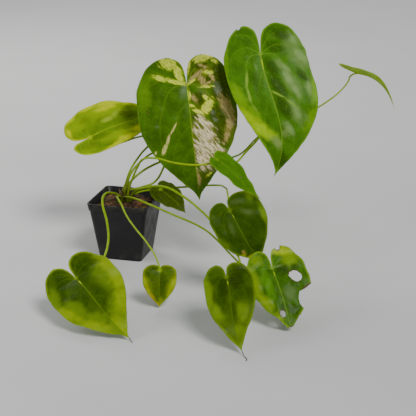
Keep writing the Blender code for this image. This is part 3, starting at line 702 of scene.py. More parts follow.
leaves = {
    "leaf_left_lime": {
        "notch": (-0.060, 0.060, 0.176), "point": (0.055, 0.110, 0.213), "face": (-20, 46),
        "halves": (0.040, 0.056), "lobe": 0.034, "bow": 0.008, "arch": 0.010, "fold": 0.16, "curl": 0.05,
        "ring": "high", "foot": 160,
        "route": (
            (-0.001, 0.008, 0.112), (0.006, 0.026, 0.130), (0.022, 0.052, 0.150), (0.038, 0.076, 0.164),
            (0.038, 0.090, 0.170), (0.018, 0.092, 0.168), (-0.004, 0.088, 0.162), (-0.028, 0.080, 0.156),
            (-0.050, 0.070, 0.158)),
        "slot": "lime_leaf",
        "deep": (0.10, 0.20, 0.0), "body": (0.155, 0.29, 0.0), "rim": (0.56, 0.62, 0.0),
        "rimWidth": 6.0, "rimRagged": 6.0, "tip": (0.30, 0.42, 0.0), "tipShare": (0.6, 1.2),
        "vein": (0.36, 0.52, 0.01), "under": (0.24, 0.36, 0.01), "roughness": 0.46, "gloss": 0.06,
        "washes": (
            ((0.27, 0.41, 0.0), (
                (-40, 45, 52, 24, 86, 0.9), (-32, -8, 30, 18, -60, 0.8), (24, 52, 46, 14, 80, 0.9),
                (24, -14, 24, 12, -70, 0.6))),
            ((0.62, 0.67, 0.0), (
                (-48, 58, 28, 9, 83, 1.0), (-40, 47, 22, 8, 88, 0.8), (-37, 85, 16, 7, 59, 0.8),
                (-53, 22, 22, 6, -88, 0.8), (-22, -27, 12, 5, 0, 0.8), (-46, -13, 18, 5, -65, 0.7),
                (22, 80, 20, 9, 72, 1.0), (33, 58, 24, 8, 85, 1.0), (37, 28, 22, 5, -80, 0.8),
                (33, -20, 17, 5, 75, 0.7))),
            ((0.36, 0.50, 0.03), ((-16, 39, 13, 6, 88, 0.8), (-21, 55, 15, 6, -63, 0.7))),
            ((0.065, 0.115, 0.0), (
                (-15, 73, 18, 11, 81, 0.9), (-27, 80, 15, 8, -75, 0.7), (8, 16, 18, 8, 74, 0.5),
                (18, -6, 14, 8, -85, 0.5), (-34, 5, 15, 10, 82, 0.4))),
        ),
    },
    "leaf_cream_variegated": {
        "notch": (0.098, 0.035, 0.270), "point": (0.118, -0.005, 0.090), "face": (0, 18),
        "halves": (0.083, 0.075), "lobe": 0.045, "arch": 0.012, "fold": 0.14, "droop": 0.16, "curl": 0.03,
        "lean": 0.006, "wave": (0.0025, 3.0, 0.4), "fine": (200, 46), "stalk": (0.0020, 0.0015),
        "ring": "high", "foot": 340,
        "route": (
            (0.010, 0.001, 0.107), (0.026, 0.008, 0.109), (0.046, 0.020, 0.114), (0.060, 0.032, 0.135),
            (0.076, 0.052, 0.180), (0.089, 0.062, 0.228), (0.096, 0.053, 0.262)),
        "slot": "variegated_leaf",
        "cuts": ((0.067, 0.036, 0.0014, 1.2, 0),),
        "quilt": 0.0010, "crumple": 0.0020,
        "deep": (0.036, 0.110, 0.0), "body": (0.062, 0.175, 0.0), "rim": (0.20, 0.34, 0.0),
        "rimWidth": 2.0, "rimRagged": 2.0, "tipShare": (1.5, 2.0), "vein": (0.30, 0.42, 0.02),
        "veinShow": 0.45, "roughness": 0.33, "gloss": 0.13, "coat": 0.03, "grain": 0.15,
        "washes": (
            ((0.12, 0.27, 0.0), (
                (70, 8, 14, 34, 0, 0.8), (50, -18, 22, 10, 0, 0.6), (20, 60, 8, 40, 0, 0.3))),
            ((0.14, 0.18, 0.012), (
                (-30, -14, 30, 20, 0, 0.9), (-24, 30, 20, 26, 0, 0.7), (-20, 92, 28, 44, 0, 1.0),
                (-58, 62, 18, 42, 0, 0.9))),
            ((0.085, 0.14, 0.002), ((-9, 148, 12, 14, 0, 0.9),)),
        ),
        "patches": (
            # dark green
            ((0.020, 0.042, 0.0), (0.048, 0.090, 0.0), 1.6, 0.34, 56, (
                (-55, 2, 32, 14, -78, 1.0), (-20, 26, 15, 8, -66, 1.0), (-44, 55, 23, 13, -72, 1.0),
                (-35, -6, 7, 5, 84, 0.9), (-44, 81, 22, 7, -77, 0.8), (-9, 53, 9, 4, -25, 0.8),
                (-25, -28, 14, 5, 11, 0.7), (-46, 21, 16, 8, -62, 0.8), (-11, -11, 9, 4, 75, 0.6))),
            # tan
            ((0.30, 0.22, 0.05), (0.50, 0.38, 0.15), 2.1, 0.38, 62, (
                (-59, 42, 28, 10, -70, 0.8), (-62, 65, 20, 8, 71, 0.75), (-53, 87, 15, 6, 67, 0.6),
                (-16, -13, 18, 4, 35, 0.8), (-24, -5, 14, 6, -65, 0.7), (-41, -7, 9, 4, -65, 0.8),
                (-32, 1, 9, 3, 20, 0.7), (-9, 23, 9, 5, -65, 0.7), (-2, 150, 16, 5, 88, 0.65),
                (-27, -27, 11, 3, -26, 0.6))),
            # pink cream: the leaf's own cream, with its pink tint a painted reflection
            ((0.44, 0.36, 0.15), (0.95, 0.79, 0.52), 2.8, 0.27, 56, (
                (-22, 63, 22, 8, -42, 0.68), (-20, 81, 30, 14, -39, 0.64), (-22, 102, 34, 16, -22, 0.68),
                (-15, 120, 27, 13, -25, 0.72), (-15, 135, 18, 6, -14, 0.6))),
            # cream in the left lobe
            ((0.38, 0.52, 0.0), (0.80, 0.86, 0.09), 2.3, 0.30, 52, (
                (24, -35, 20, 10, -21, 0.85), (12, -20, 20, 7, -71, 1.0))),
            ((0.38, 0.52, 0.0), (0.80, 0.86, 0.09), 2.3, 0.30, 16, (
                (39, -14, 18, 5, -19, 0.75), (17, -6, 20, 4, -16, 1.0))),
            # cream in the right half
            ((0.42, 0.52, 0.01), (0.83, 0.85, 0.12), 2.2, 0.36, 44, (
                (-4, -28, 17, 5, 72, 0.6), (-29, -39, 19, 7, 6, 0.9), (-46, -33, 10, 4, -42, 0.6),
                (-35, -16, 10, 4, -6, 0.8), (-30, 6, 14, 3, -3, 0.7), (-27, 23, 6, 4, -44, 0.8),
                (-28, 38, 17, 8, 49, 1.0), (-14, 44, 12, 4, -26, 0.9), (-3, 33, 7, 3, -24, 0.8),
                (-2, 17, 12, 3, 90, 0.6), (-8, -4, 8, 2.4, 29, 1.0), (-19, 145, 7, 3, 30, 0.7))),
            # the long streak in the left half
            ((0.34, 0.36, 0.04), (0.68, 0.62, 0.24), 1.2, 0.34, 66, (
                (29, 67, 13, 2.2, 57, 0.75), (39, 83, 11, 3, 70, 0.9), (46, 97, 11, 4, 65, 0.95),
                (61, 102, 4, 2.4, 70, 0.8))),
        ),
    },
    "leaf_tall_green": {
        "notch": (0.213, 0.025, 0.322), "point": (0.234, -0.030, 0.137), "face": (0, 15),
        "halves": (0.060, 0.073), "lobe": 0.045, "bow": -0.019, "arch": 0.016, "droop": 0.18,
        "curl": 0.04, "lean": 0.004, "wave": (0.0030, 2.5, 1.2), "fine": (190, 42),
        "stalk": (0.0020, 0.0015), "ring": "high", "foot": 70,
        "route": (
            (0.004, 0.010, 0.112), (0.018, 0.024, 0.124), (0.042, 0.038, 0.136), (0.070, 0.046, 0.144),
            (0.104, 0.044, 0.149), (0.140, 0.028, 0.146), (0.169, 0.006, 0.147), (0.193, 0.012, 0.168),
            (0.215, 0.024, 0.192), (0.228, 0.048, 0.240), (0.222, 0.056, 0.290), (0.215, 0.043, 0.316)),
        "cuts": ((0.030, -0.0455, 0.0035, 1.6, 0),),
        "quilt": 0.0008, "crumple": 0.0014,
        "deep": (0.045, 0.150, 0.0), "body": (0.070, 0.225, 0.0), "rim": (0.20, 0.42, 0.0), "rimWidth": 3.5,
        "tip": (0.06, 0.15, 0.0), "tipShare": (0.8, 1.0),
        "vein": (0.25, 0.42, 0.03), "veinShow": 0.6, "roughness": 0.42, "gloss": 0.11,
        "washes": (
            # bright margins
            ((0.20, 0.42, 0.0), (
                (50, 66, 30, 12, -80, 0.9), (36, 92, 20, 10, -62, 0.8), (-68, 65, 31, 8, 75, 0.8),
                (-49, 110, 28, 9, 57, 0.7), (54, 9, 30, 4, 83, 0.5))),
            # silvery patches of the right half: partly the leaf's own silvery tone, partly a painted
            # reflection, a painted sheen of the light on the blade
            ((0.165, 0.29, 0.06), (
                (-50, -10, 26, 16, -61, 0.8), (-60, 15, 28, 16, -58, 0.8), (-60, 57, 21, 8, 83, 0.7),
                (-29, 22, 18, 8, -48, 0.8), (-36, 51, 28, 13, -77, 0.9), (-28, 95, 26, 13, -81, 0.9),
                (-12, 120, 20, 9, -64, 0.7), (11, 19, 10, 3, -78, 0.6), (-41, 103, 16, 6, -74, 0.6))),
            ((0.25, 0.40, 0.12), (
                (-62, 10, 20, 7, -58, 0.8), (-52, -17, 14, 6, -61, 0.7), (-33, 42, 16, 6, -77, 0.8),
                (-39, 64, 12, 5, -77, 0.7), (-61, 56, 16, 4, 83, 0.7), (-30, 94, 18, 6, -81, 0.7),
                (-14, 122, 14, 6, -64, 0.7), (-34, 26, 10, 4, -50, 0.7))),
            # dark patches along the veins and at the tip
            ((0.024, 0.075, 0.0), (
                (-34, -27, 19, 9, -28, 0.9), (-21, -8, 24, 11, -29, 0.6), (-56, 41, 15, 8, -58, 0.9),
                (-13, 22, 18, 10, -75, 0.9), (-14, 53, 24, 11, -74, 1.0), (-12, 87, 22, 11, -70, 1.0),
                (18, 44, 24, 7, 83, 0.5), (-4, 169, 24, 9, -67, 0.9), (25, -22, 20, 11, -26, 0.4))),
            # the yellow patch at the lower left margin
            ((0.43, 0.66, 0.0), (
                (46, 97, 26, 9, -58, 0.9), (33, 114, 26, 12, -50, 1.0), (20, 126, 18, 9, -30, 0.8))),
            ((0.26, 0.38, 0.09), ((8, 140, 16, 8, -52, 0.8), (-4, 128, 10, 7, -40, 0.6))),
            # pale side veins
            ((0.28, 0.46, 0.05), (
                (30, 39, 17, 2.6, 72, 0.9), (34, 63, 16, 2.6, 87, 0.9), (32, 83, 13, 2.4, -72, 0.6),
                (-10, 66, 12, 2.4, -36, 0.9), (-26, 82, 17, 2.4, -50, 0.7))),
        ),
    },
    "leaf_far_right": {
        "notch": (0.358, 0.030, 0.292), "point": (0.434, 0.010, 0.262), "face": (108, 54),
        "halves": (0.026, 0.026), "lobe": 0.024, "fold": 0.32, "curl": 0.32, "fine": (110, 24),
        "wave": (0.0004, 2.0, 0.0), "crumple": 0.0002, "quilt": 0.0003,
        "stalk": (0.0018, 0.0012), "ring": "high", "foot": 250,
        "route": (
            (0.001, 0.000, 0.112), (0.008, 0.010, 0.130), (0.024, 0.028, 0.146), (0.048, 0.046, 0.157),
            (0.084, 0.060, 0.160), (0.128, 0.060, 0.152), (0.172, 0.044, 0.148), (0.216, 0.048, 0.184),
            (0.262, 0.044, 0.214), (0.301, 0.034, 0.231), (0.321, 0.030, 0.245), (0.339, 0.030, 0.260),
            (0.352, 0.032, 0.276)),
        "under": (0.30, 0.50, 0.0), "rim": (0.48, 0.66, 0.0), "rimWidth": 6.0,
        "body": (0.16, 0.34, 0.0), "deep": (0.09, 0.22, 0.0),
    },
    "leaf_narrow": {
        "notch": (0.145, -0.050, 0.172), "point": (0.216, -0.070, 0.117), "face": (52, 46),
        "halves": (0.024, 0.024), "lobe": 0.010, "bow": 0.011, "fold": 0.22, "curl": 0.04,
        "fine": (110, 24), "foot": 289,
        "route": (
            (0.006, -0.009, 0.112), (0.012, -0.013, 0.130), (0.021, -0.022, 0.152), (0.030, -0.034, 0.168),
            (0.048, -0.044, 0.173), (0.080, -0.050, 0.167), (0.115, -0.054, 0.165), (0.135, -0.053, 0.167)),
        "cuts": ((0.004, 0.046, 0.0008, 1.0, 0),),
        "rimWidth": 3.5,
        "vein": (0.18, 0.34, 0.0), "veinShow": 0.4, "roughness": 0.32, "gloss": 0.16,
    },
    "leaf_satin": {
        "notch": (0.163, -0.190, 0.138), "point": (0.211, -0.200, 0.060),
        "halves": (0.036, 0.046), "lobe": 0.019, "bow": 0.003, "curl": 0.04,
        "wave": (0.0020, 3.0, 0.8), "foot": 26, "stalk": (0.0019, 0.0013),
        "route": (
            (0.018, 0.009, 0.104), (0.040, 0.012, 0.106), (0.076, 0.014, 0.106), (0.112, 0.018, 0.107),
            (0.143, 0.008, 0.112), (0.157, -0.040, 0.124), (0.161, -0.110, 0.137), (0.162, -0.164, 0.138)),
        "slot": "dark_leaf",
        "quilt": 0.0010,
        "deep": (0.024, 0.066, 0.0), "body": (0.042, 0.102, 0.0), "rim": (0.17, 0.30, 0.0),
        "vein": (0.13, 0.22, 0.01), "gloss": 0.13,
        "tip": (0.055, 0.11, 0.0), "washes": (
            ((0.17, 0.30, 0.0), (
                (-42, 34, 7, 26, 0, 0.8), (30, 40, 8, 16, 0, 0.5), (-36, -4, 8, 14, -30, 0.5))),
            # painted sheen: a grey-green painted reflection on the blade
            ((0.090, 0.150, 0.03), (
                (-16, -6, 14, 6, -20, 0.7), (-22, 14, 12, 5, -40, 0.7), (10, 22, 5, 18, 0, 0.6),
                (24, 2, 8, 12, 0, 0.5))),
            ((0.44, 0.46, 0.0), ((17, 69, 9, 5, 30, 0.9), (8, 76, 8, 5, 0, 0.8))),
            ((0.36, 0.22, 0.05), ((12, 62, 3.0, 3.8, 0, 1.0),)),
        ),
    },
    "leaf_torn": {
        "notch": (0.223, -0.250, 0.072), "point": (0.248, -0.322, 0.0030), "face": (0, 38),
        "halves": (0.040, 0.047), "lobe": 0.030, "bow": -0.002, "fold": 0.08,
        "wave": (0.0022, 3.5, 2.0), "foot": 258, "stalk": (0.0019, 0.0013),
        "cuts": (
            (-0.028, 0.022, 0.0080, 1.3, 30), (-0.052, 0.062, 0.0280, 0.85, 0),
            (0.005, 0.074, 0.0040, 1.3, 0), (-0.019, 0.088, 0.0045, 1.3, 20),
            (-0.015, -0.030, 0.0040, 1.4, 0), (-0.002, 0.106, 0.0120, 1.0, 0)),
        "route": (
            (0.004, -0.020, 0.101), (0.016, -0.038, 0.105), (0.037, -0.062, 0.105), (0.074, -0.090, 0.098),
            (0.123, -0.117, 0.084), (0.146, -0.145, 0.074), (0.163, -0.168, 0.063), (0.180, -0.192, 0.055),
            (0.200, -0.216, 0.054), (0.216, -0.236, 0.060)),
        "quilt": 0.0014, "crumple": 0.0020, "roughness": 0.38, "gloss": 0.14,
        "deep": (0.032, 0.100, 0.0), "body": (0.060, 0.175, 0.0), "rim": (0.28, 0.46, 0.0),
        "vein": (0.20, 0.36, 0.03),
        "washes": (
            ((0.22, 0.36, 0.0), (
                (32, 16, 11, 38, 4, 0.9), (24, 54, 11, 18, 24, 0.9), (14, 76, 12, 12, 0, 0.8),
                (-28, -8, 16, 20, -20, 0.8), (20, -16, 12, 12, 0, 0.7), (-6, 98, 14, 8, 0, 0.8))),
            ((0.42, 0.54, 0.0), (
                (-19, -22, 18, 8, -14, 0.9), (-6, -24, 6, 6, 0, 0.7), (35, 12, 5, 22, 4, 0.6),
                (28, 48, 5, 12, 24, 0.5))),
            ((0.10, 0.29, 0.0), ((14, 26, 9, 34, 0, 0.8),)),
            ((0.022, 0.058, 0.003), (
                (-14, 8, 12, 10, -30, 0.9), (-30, 8, 9, 8, 0, 0.7), (4, 34, 4, 18, 10, 0.4),
                (6, 66, 6, 9, 0, 0.6), (-8, 72, 7, 9, 0, 0.6))),
            # painted sheen: a grey-green painted reflection on the middle of the blade
            ((0.13, 0.22, 0.06), (
                (-12, 48, 11, 15, 0, 0.8), (-8, 0, 10, 2.5, 0, 0.7), (-2, 88, 9, 8, 0, 0.6))),
        ),
    },
    "leaf_right_hanging": {
        "notch": (0.157, -0.300, 0.078), "point": (0.178, -0.391, 0.0056), "face": (0, 38),
        "halves": (0.034, 0.037), "bow": 0.004, "arch": 0.008, "fold": 0.10, "curl": 0.03,
        "wave": (0.0020, 3.0, 0.0), "foot": 320, "stalk": (0.0020, 0.0014),
        "route": (
            (0.015, -0.010, 0.106), (0.028, -0.028, 0.118), (0.061, -0.060, 0.132), (0.090, -0.095, 0.130),
            (0.123, -0.132, 0.115), (0.140, -0.151, 0.103), (0.157, -0.170, 0.088), (0.171, -0.188, 0.074),
            (0.178, -0.218, 0.066), (0.173, -0.255, 0.064), (0.162, -0.284, 0.065)),
        "deep": (0.028, 0.064, 0.0), "body": (0.060, 0.125, 0.0), "rim": (0.20, 0.33, 0.0), "rimWidth": 5.0,
        "tip": (0.13, 0.22, 0.0), "tipShare": (0.45, 1.0), "vein": (0.12, 0.20, 0.0), "veinShow": 0.3,
        "washes": (
            ((0.18, 0.30, 0.0), (
                (30, 26, 9, 34, 0, 0.9), (20, 58, 9, 22, 24, 0.8), (-14, 62, 12, 22, 0, 0.7),
                (0, 88, 16, 12, 0, 0.7))),
            ((0.018, 0.042, 0.0), (
                (-13, 8, 14, 22, 0, 0.9), (8, 20, 9, 22, 0, 0.9), (-24, -6, 10, 10, 0, 0.6),
                (-3, 60, 6, 18, 0, 0.5))),
        ),
        "thread": ((0.180, -0.3955, 0.0016), (0.183, -0.4020, 0.0006), (0.182, -0.4080, 0.0006)),
    },
    "leaf_front_left": {
        "notch": (-0.058, -0.250, 0.056), "point": (0.024, -0.345, 0.0048), "face": (-15, 54),
        "halves": (0.052, 0.054), "lobe": 0.034, "bow": 0.004, "arch": 0.010, "fold": 0.14, "droop": 0.12,
        "wave": (0.0022, 3.0, 1.0), "foot": 195, "stalk": (0.0021, 0.0015),
        "fine": (150, 36),
        "route": (
            (-0.022, -0.010, 0.105), (-0.032, -0.034, 0.109), (-0.033, -0.056, 0.104),
            (-0.024, -0.090, 0.084), (-0.020, -0.130, 0.066), (-0.027, -0.175, 0.051),
            (-0.041, -0.216, 0.042), (-0.053, -0.240, 0.043)),
        "deep": (0.026, 0.062, 0.0), "body": (0.055, 0.112, 0.0),
        "rim": (0.30, 0.44, 0.0), "rimShow": 0.9, "tipShare": (0.68, 1.05), "tip": (0.32, 0.44, 0.0),
        "vein": (0.17, 0.28, 0.0), "veinShow": 0.45,
        "washes": (
            ((0.15, 0.26, 0.0), (
                (-38, 34, 40, 26, 86, 0.8), (-22, 88, 34, 20, 66, 0.8), (44, 12, 28, 10, 77, 0.8),
                (32, 52, 28, 16, -70, 0.8), (16, 84, 28, 16, -56, 0.8), (2, 110, 22, 14, 84, 0.8))),
            ((0.29, 0.41, 0.0), (
                (-47, 14, 34, 14, -76, 0.8), (-46, 46, 31, 14, 76, 0.9), (-31, 80, 30, 13, 57, 0.8),
                (45, 47, 38, 9, -66, 0.8), (26, 90, 32, 11, -52, 0.8), (-2, 114, 28, 13, 84, 0.8))),
            ((0.020, 0.052, 0.0), (
                (22, -4, 24, 12, 77, 0.8), (-13, -4, 22, 12, 89, 0.8), (6, 31, 26, 12, -82, 0.5),
                (-14, 46, 24, 10, -74, 0.5), (-33, -6, 17, 9, -44, 0.6))),
        ),
        "thread": ((0.0250, -0.3466, 0.0018), (0.0262, -0.3480, 0.0010), (0.0272, -0.3492, 0.0008)),
    },
    "leaf_shield": {
        "notch": (0.061, -0.214, 0.054), "point": (0.060, -0.231, 0.0018),
        "halves": (0.025, 0.025), "lobe": 0.008, "arch": 0.004,
        "fine": (110, 24), "stalk": (0.0018, 0.0012), "foot": 227,
        "route": (
            (-0.012, -0.022, 0.103), (-0.010, -0.040, 0.106), (-0.004, -0.058, 0.103),
            (0.006, -0.090, 0.095), (0.022, -0.130, 0.088), (0.042, -0.172, 0.079), (0.056, -0.200, 0.066)),
        "deep": (0.045, 0.095, 0.0), "body": (0.085, 0.150, 0.0), "veinShow": 0.12,
        "rim": (0.36, 0.46, 0.0), "tip": (0.24, 0.30, 0.0), "tipShare": (0.7, 1.2),
        "washes": (
            ((0.020, 0.045, 0.0), ((10, -2, 9, 3, 10, 0.6), (-2, 20, 12, 16, 0, 0.5))),
            ((0.17, 0.24, 0.0), ((-17, 22, 8, 22, -20, 0.8), (18, 22, 8, 22, 20, 0.8))),
            ((0.36, 0.44, 0.0), (
                (-19, 22, 5, 22, -20, 0.9), (20, 22, 4, 22, 20, 0.9), (0, 44, 9, 7, 0, 0.6))),
            ((0.50, 0.38, 0.01), ((1, 52, 9, 7, 0, 0.9), (10, 40, 4, 9, 32, 0.7), (18, 26, 2, 8, 20, 0.5))),
        ),
    },
    "leaf_small_dark": {
        "notch": (0.056, -0.008, 0.110), "point": (0.097, -0.042, 0.082), "face": (10, 50),
        "halves": (0.021, 0.021), "lobe": 0.012, "arch": 0.005,
        "fine": (90, 20), "stalk": (0.0017, 0.0011), "foot": 353,
        "route": ((0.017, -0.003, 0.102), (0.034, -0.004, 0.107), (0.048, -0.005, 0.107)),
        "slot": "dark_leaf",
        # these dark colours are painted shade: the leaf sits low in the shade of the bigger leaves
        "deep": (0.024, 0.044, 0.0), "body": (0.036, 0.066, 0.0), "rim": (0.09, 0.14, 0.0),
        "rimWidth": 3.0, "veinShow": 0.2, "roughness": 0.5, "tip": (0.05, 0.09, 0.0),
    },
}


# The blade's own frame: x to its left, y from notch to tip, z out of its upper side
def bladeFrame(leaf):
    notch = place(*leaf["notch"])
    along = (place(*leaf["point"]) - notch).normalized()
    turn, lift = (math.radians(angle) for angle in leaf["face"])
    up = place(math.sin(turn) * math.cos(lift), -math.cos(turn) * math.cos(lift), math.sin(lift))
    up = (up - along * up.dot(along)).normalized()
    return Matrix((along.cross(up), along, up)).transposed().to_4x4(), notch


# How far the midrib has bent to the left at this distance from the notch
def bowAt(leaf, along):
    u = min(1.0, max(0.0, along / leaf["length"]))
    return leaf["bow"] * bowScale * u * u * (1 - u)


# Where a share of the outline, or of a vein, lies along the blade
def reachAt(leaf, far):
    ease = min(1.0, max(0.0, far / lobeEase))
    return far * (leaf["lobe"] + (leaf["length"] - leaf["lobe"]) * ease * (2 - ease))


def bladeBend(leaf, x, y, share):
    length = leaf["length"]
    half = leaf["halves"][0 if x > 0 else 1]
    u = min(1.0, max(0.0, y / length))
    lobe = min(1.0, max(0.0, -y / leaf["lobe"]))
    height, count, start = leaf["wave"]
    roundBlade = y / length if y > 0 else y / leaf["lobe"] * 0.3
    ripple = height * share ** 2 * math.sin(math.tau * count * roundBlade + start + (1.3 if x > 0 else 0.0))
    ripple *= min(1.0, math.hypot(x, y) / half, (1.0 - u) * 8)
    z = leaf["fold"] * abs(x) - leaf["droop"] * x * x / half * 1.2 + ripple
    z += leaf["arch"] * 4 * u * (1 - u) - leaf["curl"] * length * u ** 3 + leaf["lean"] * lobe ** 2
    return Vector((x + bowAt(leaf, y), y, z))


# A vein or the outline as a fine line in the blade's plane
def bladeLine(leaf, points, side, steps):
    half = leaf["halves"][0 if side > 0 else 1]
    line = []
    for step in range(steps + 1):
        wide, far = alongCurve(points, step / steps * (len(points) - 1))[:2]
        line.append((side * max(wide, 0.0) * half, reachAt(leaf, far)))
    return np.array(line)


# The gap from each point to the nearest line, and the same as a share of that line's own width
def nearestGaps(points, lines):
    nearest = np.full(len(points), 1.0)
    shares = np.full(len(points), 1000.0)
    for line, (first, last) in lines:
        widths = np.linspace(first, last, len(line) - 1) / 1000
        for start, end, width in zip(line, line[1:], widths):
            along = end - start
            spot = np.clip((points - start) @ along / (along @ along), 0.0, 1.0)
            gaps = np.linalg.norm(points - start - spot[:, None] * along, axis=1)
            nearest = np.minimum(nearest, gaps)
            shares = np.minimum(shares, gaps / width)
    return nearest, shares


def bladeLines(leaf):
    size = (leaf["length"] / veinLength) ** 0.5
    points, (first, last) = midrib
    veins = [(bladeLine(leaf, points, 1, 2), (first * size, last))]
    for side in (1, -1):
        veins += [(bladeLine(leaf, points, side, 14), (first * size, last))
                  for points, (first, last) in sideVeins]
    rims = [(bladeLine(leaf, heart, side, 90), (1.0, 1.0)) for side in (1, -1)]
    return veins, rims


def noiseAt(flat, fine, seed):
    return noise.noise(Vector((flat.x * fine, flat.y * fine, seed)))


# Both sides and the edge of the blade in its own frame, with its veins sunk above and raised below
def bladeMesh(leaf):
    around, across = leaf["fine"]
    length = leaf["length"]
    wobble, wobbleFine = bladeRelief["wobble"]
    coarse, fine = bladeRelief["rolls"]
    nearNotch, nearTip = bladeRelief["calm"]
    veins, rims = bladeLines(leaf)
    sheet = bmesh.new()
    bmesh.ops.create_grid(sheet, x_segments=2 * across, y_segments=around, size=1.0)
    flats = []
    shares = []
    for vert in sheet.verts:
        side = 1 if vert.co.x > 0 else -1
        half = leaf["halves"][0 if side > 0 else 1]
        wide, far, vein = alongCurve(heart, (vert.co.y + 1) / 2 * (len(heart) - 1))
        rim = Vector((side * max(wide, 0.0) * half, reachAt(leaf, far)))
        rim *= 1.0 + wobble * noiseAt(rim, wobbleFine, length * 50)
        shares.append(min(1.0, abs(vert.co.x)))
        flats.append(Vector((0.0, max(vein, 0.0) * length)).lerp(rim, shares[-1]))
    near, closeness = nearestGaps(np.array(flats), veins)
    for vert, flat, share, gap, close in zip(sheet.verts, flats, shares, near, closeness):
        calm = min(1.0, flat.length / nearNotch, (length - flat.y) / (length * nearTip))
        roll = noiseAt(flat, coarse, length * 90) + 0.5 * noiseAt(flat, fine, length * 40)
        swell = 1.0 - gauss(gap, bladeRelief["besideVein"]) - 0.2 * gauss(close, 1.0)
        vert.co = bladeBend(leaf, flat.x, flat.y, share)
        vert.co.z += calm * (leaf["quilt"] * swell + leaf["crumple"] * roll * min(1.0, share * 2))
    bmesh.ops.remove_doubles(sheet, verts=sheet.verts, dist=2e-5)
    under = bmesh.ops.extrude_face_region(sheet, geom=sheet.faces[:], use_keep_orig=True)["geom"]
    lower = [part for part in under if isinstance(part, bmesh.types.BMVert)]
    places = np.array([flatPlace(leaf, vert.co) for vert in lower])
    closeness = nearestGaps(places, veins)[1]
    edges = nearestGaps(places, rims)[0]
    for vert, close, edge in zip(lower, closeness, edges):
        body = min(1.0, edge / bladeWall["rise"])
        vert.co.z -= bladeWall["edge"] + (bladeWall["middle"] - bladeWall["edge"]) * body
        vert.co.z -= bladeWall["ridge"] * body * gauss(close, 1.2)
    for face in under:
        if isinstance(face, bmesh.types.BMFace):
            face.material_index = 1
    bmesh.ops.recalc_face_normals(sheet, faces=sheet.faces)
    return sheet


# From a point of the bent blade back to its place in the flat one
def flatPlace(leaf, point):
    return point.x - bowAt(leaf, point.y), point.y


def bladeCutters(leaf):
    share, fine = cutShape["ragged"]
    cutters = []
    for left, along, radius, stretch, turn in leaf["cuts"]:
        cutter = bmesh.new()
        bmesh.ops.create_cone(cutter, cap_ends=True, segments=cutShape["sides"], depth=cutShape["depth"],
                              radius1=radius, radius2=radius)
        for vert in cutter.verts:
            bearing = math.atan2(vert.co.y, vert.co.x)
            spot = Vector((math.cos(bearing), math.sin(bearing)))
            ragged = 1.0 + share * noiseAt(spot, fine, left * 900)
            vert.co.x *= ragged
            vert.co.y *= ragged
        shape = Matrix.Rotation(math.radians(turn), 4, "Z") @ Matrix.Diagonal((1.0, stretch, 1.0, 1.0))
        seat = Matrix.Translation((left, along, 0.0)) @ shape
        bmesh.ops.transform(cutter, matrix=seat, verts=cutter.verts)
        cutters.append(cutter)
    return cutters


# How far a point is from the nearest cut's edge, in mm
def cutGap(leaf, point):
    gap = 1.0
    for left, along, radius, stretch, turn in leaf["cuts"]:
        offset = Matrix.Rotation(math.radians(-turn), 2) @ Vector((point.x - left, point.y - along))
        gap = min(gap, math.hypot(offset.x, offset.y / stretch) - radius)
    return gap * 1000


# Writes down where each point of the blade lies, in mm, for the materials to read
def markBlade(leaf, blade):
    veins, rims = bladeLines(leaf)
    placeLayer = blade.verts.layers.float_vector.new("bladePlace")
    gapLayer = blade.verts.layers.float_vector.new("bladeGaps")
    blade.verts.layers.float.new("alongStalk")
    places = np.array([flatPlace(leaf, vert.co) for vert in blade.verts])
    closeness = nearestGaps(places, veins)[1]
    edges = nearestGaps(places, rims)[0] * 1000
    for vert, (left, along), close, edge in zip(blade.verts, places, closeness, edges):
        vert[placeLayer] = (left * 1000, along * 1000, along / leaf["length"])
        vert[gapLayer] = (min(close, 50.0), edge, cutGap(leaf, vert.co))


bladeLook = {"torn": (0.10, 0.055, 0.02), "sideVeins": 0.42, "net": 0.14, "coatRoughness": 0.14,
             "underRoughness": 0.55, "underGloss": 0.15}
flesh = {"Subsurface Radius": (0.6, 1.0, 0.2), "Subsurface Scale": 0.0015}


# The net of the finest veins, 1 on its lines
def veinNet(where, scale, width):
    net = addNode("TexVoronoi", {"Vector": where, "Scale": scale}, feature="DISTANCE_TO_EDGE")
    return softStep(net.outputs["Distance"], 0.0, width, 1.0, 0.0)


# Holes and tears have a dry brown edge
def tornEdge(colour, cut):
    return mixColour(softStep(cut, 0.3, 1.3, 0.9, 0.0), colour, bladeLook["torn"])


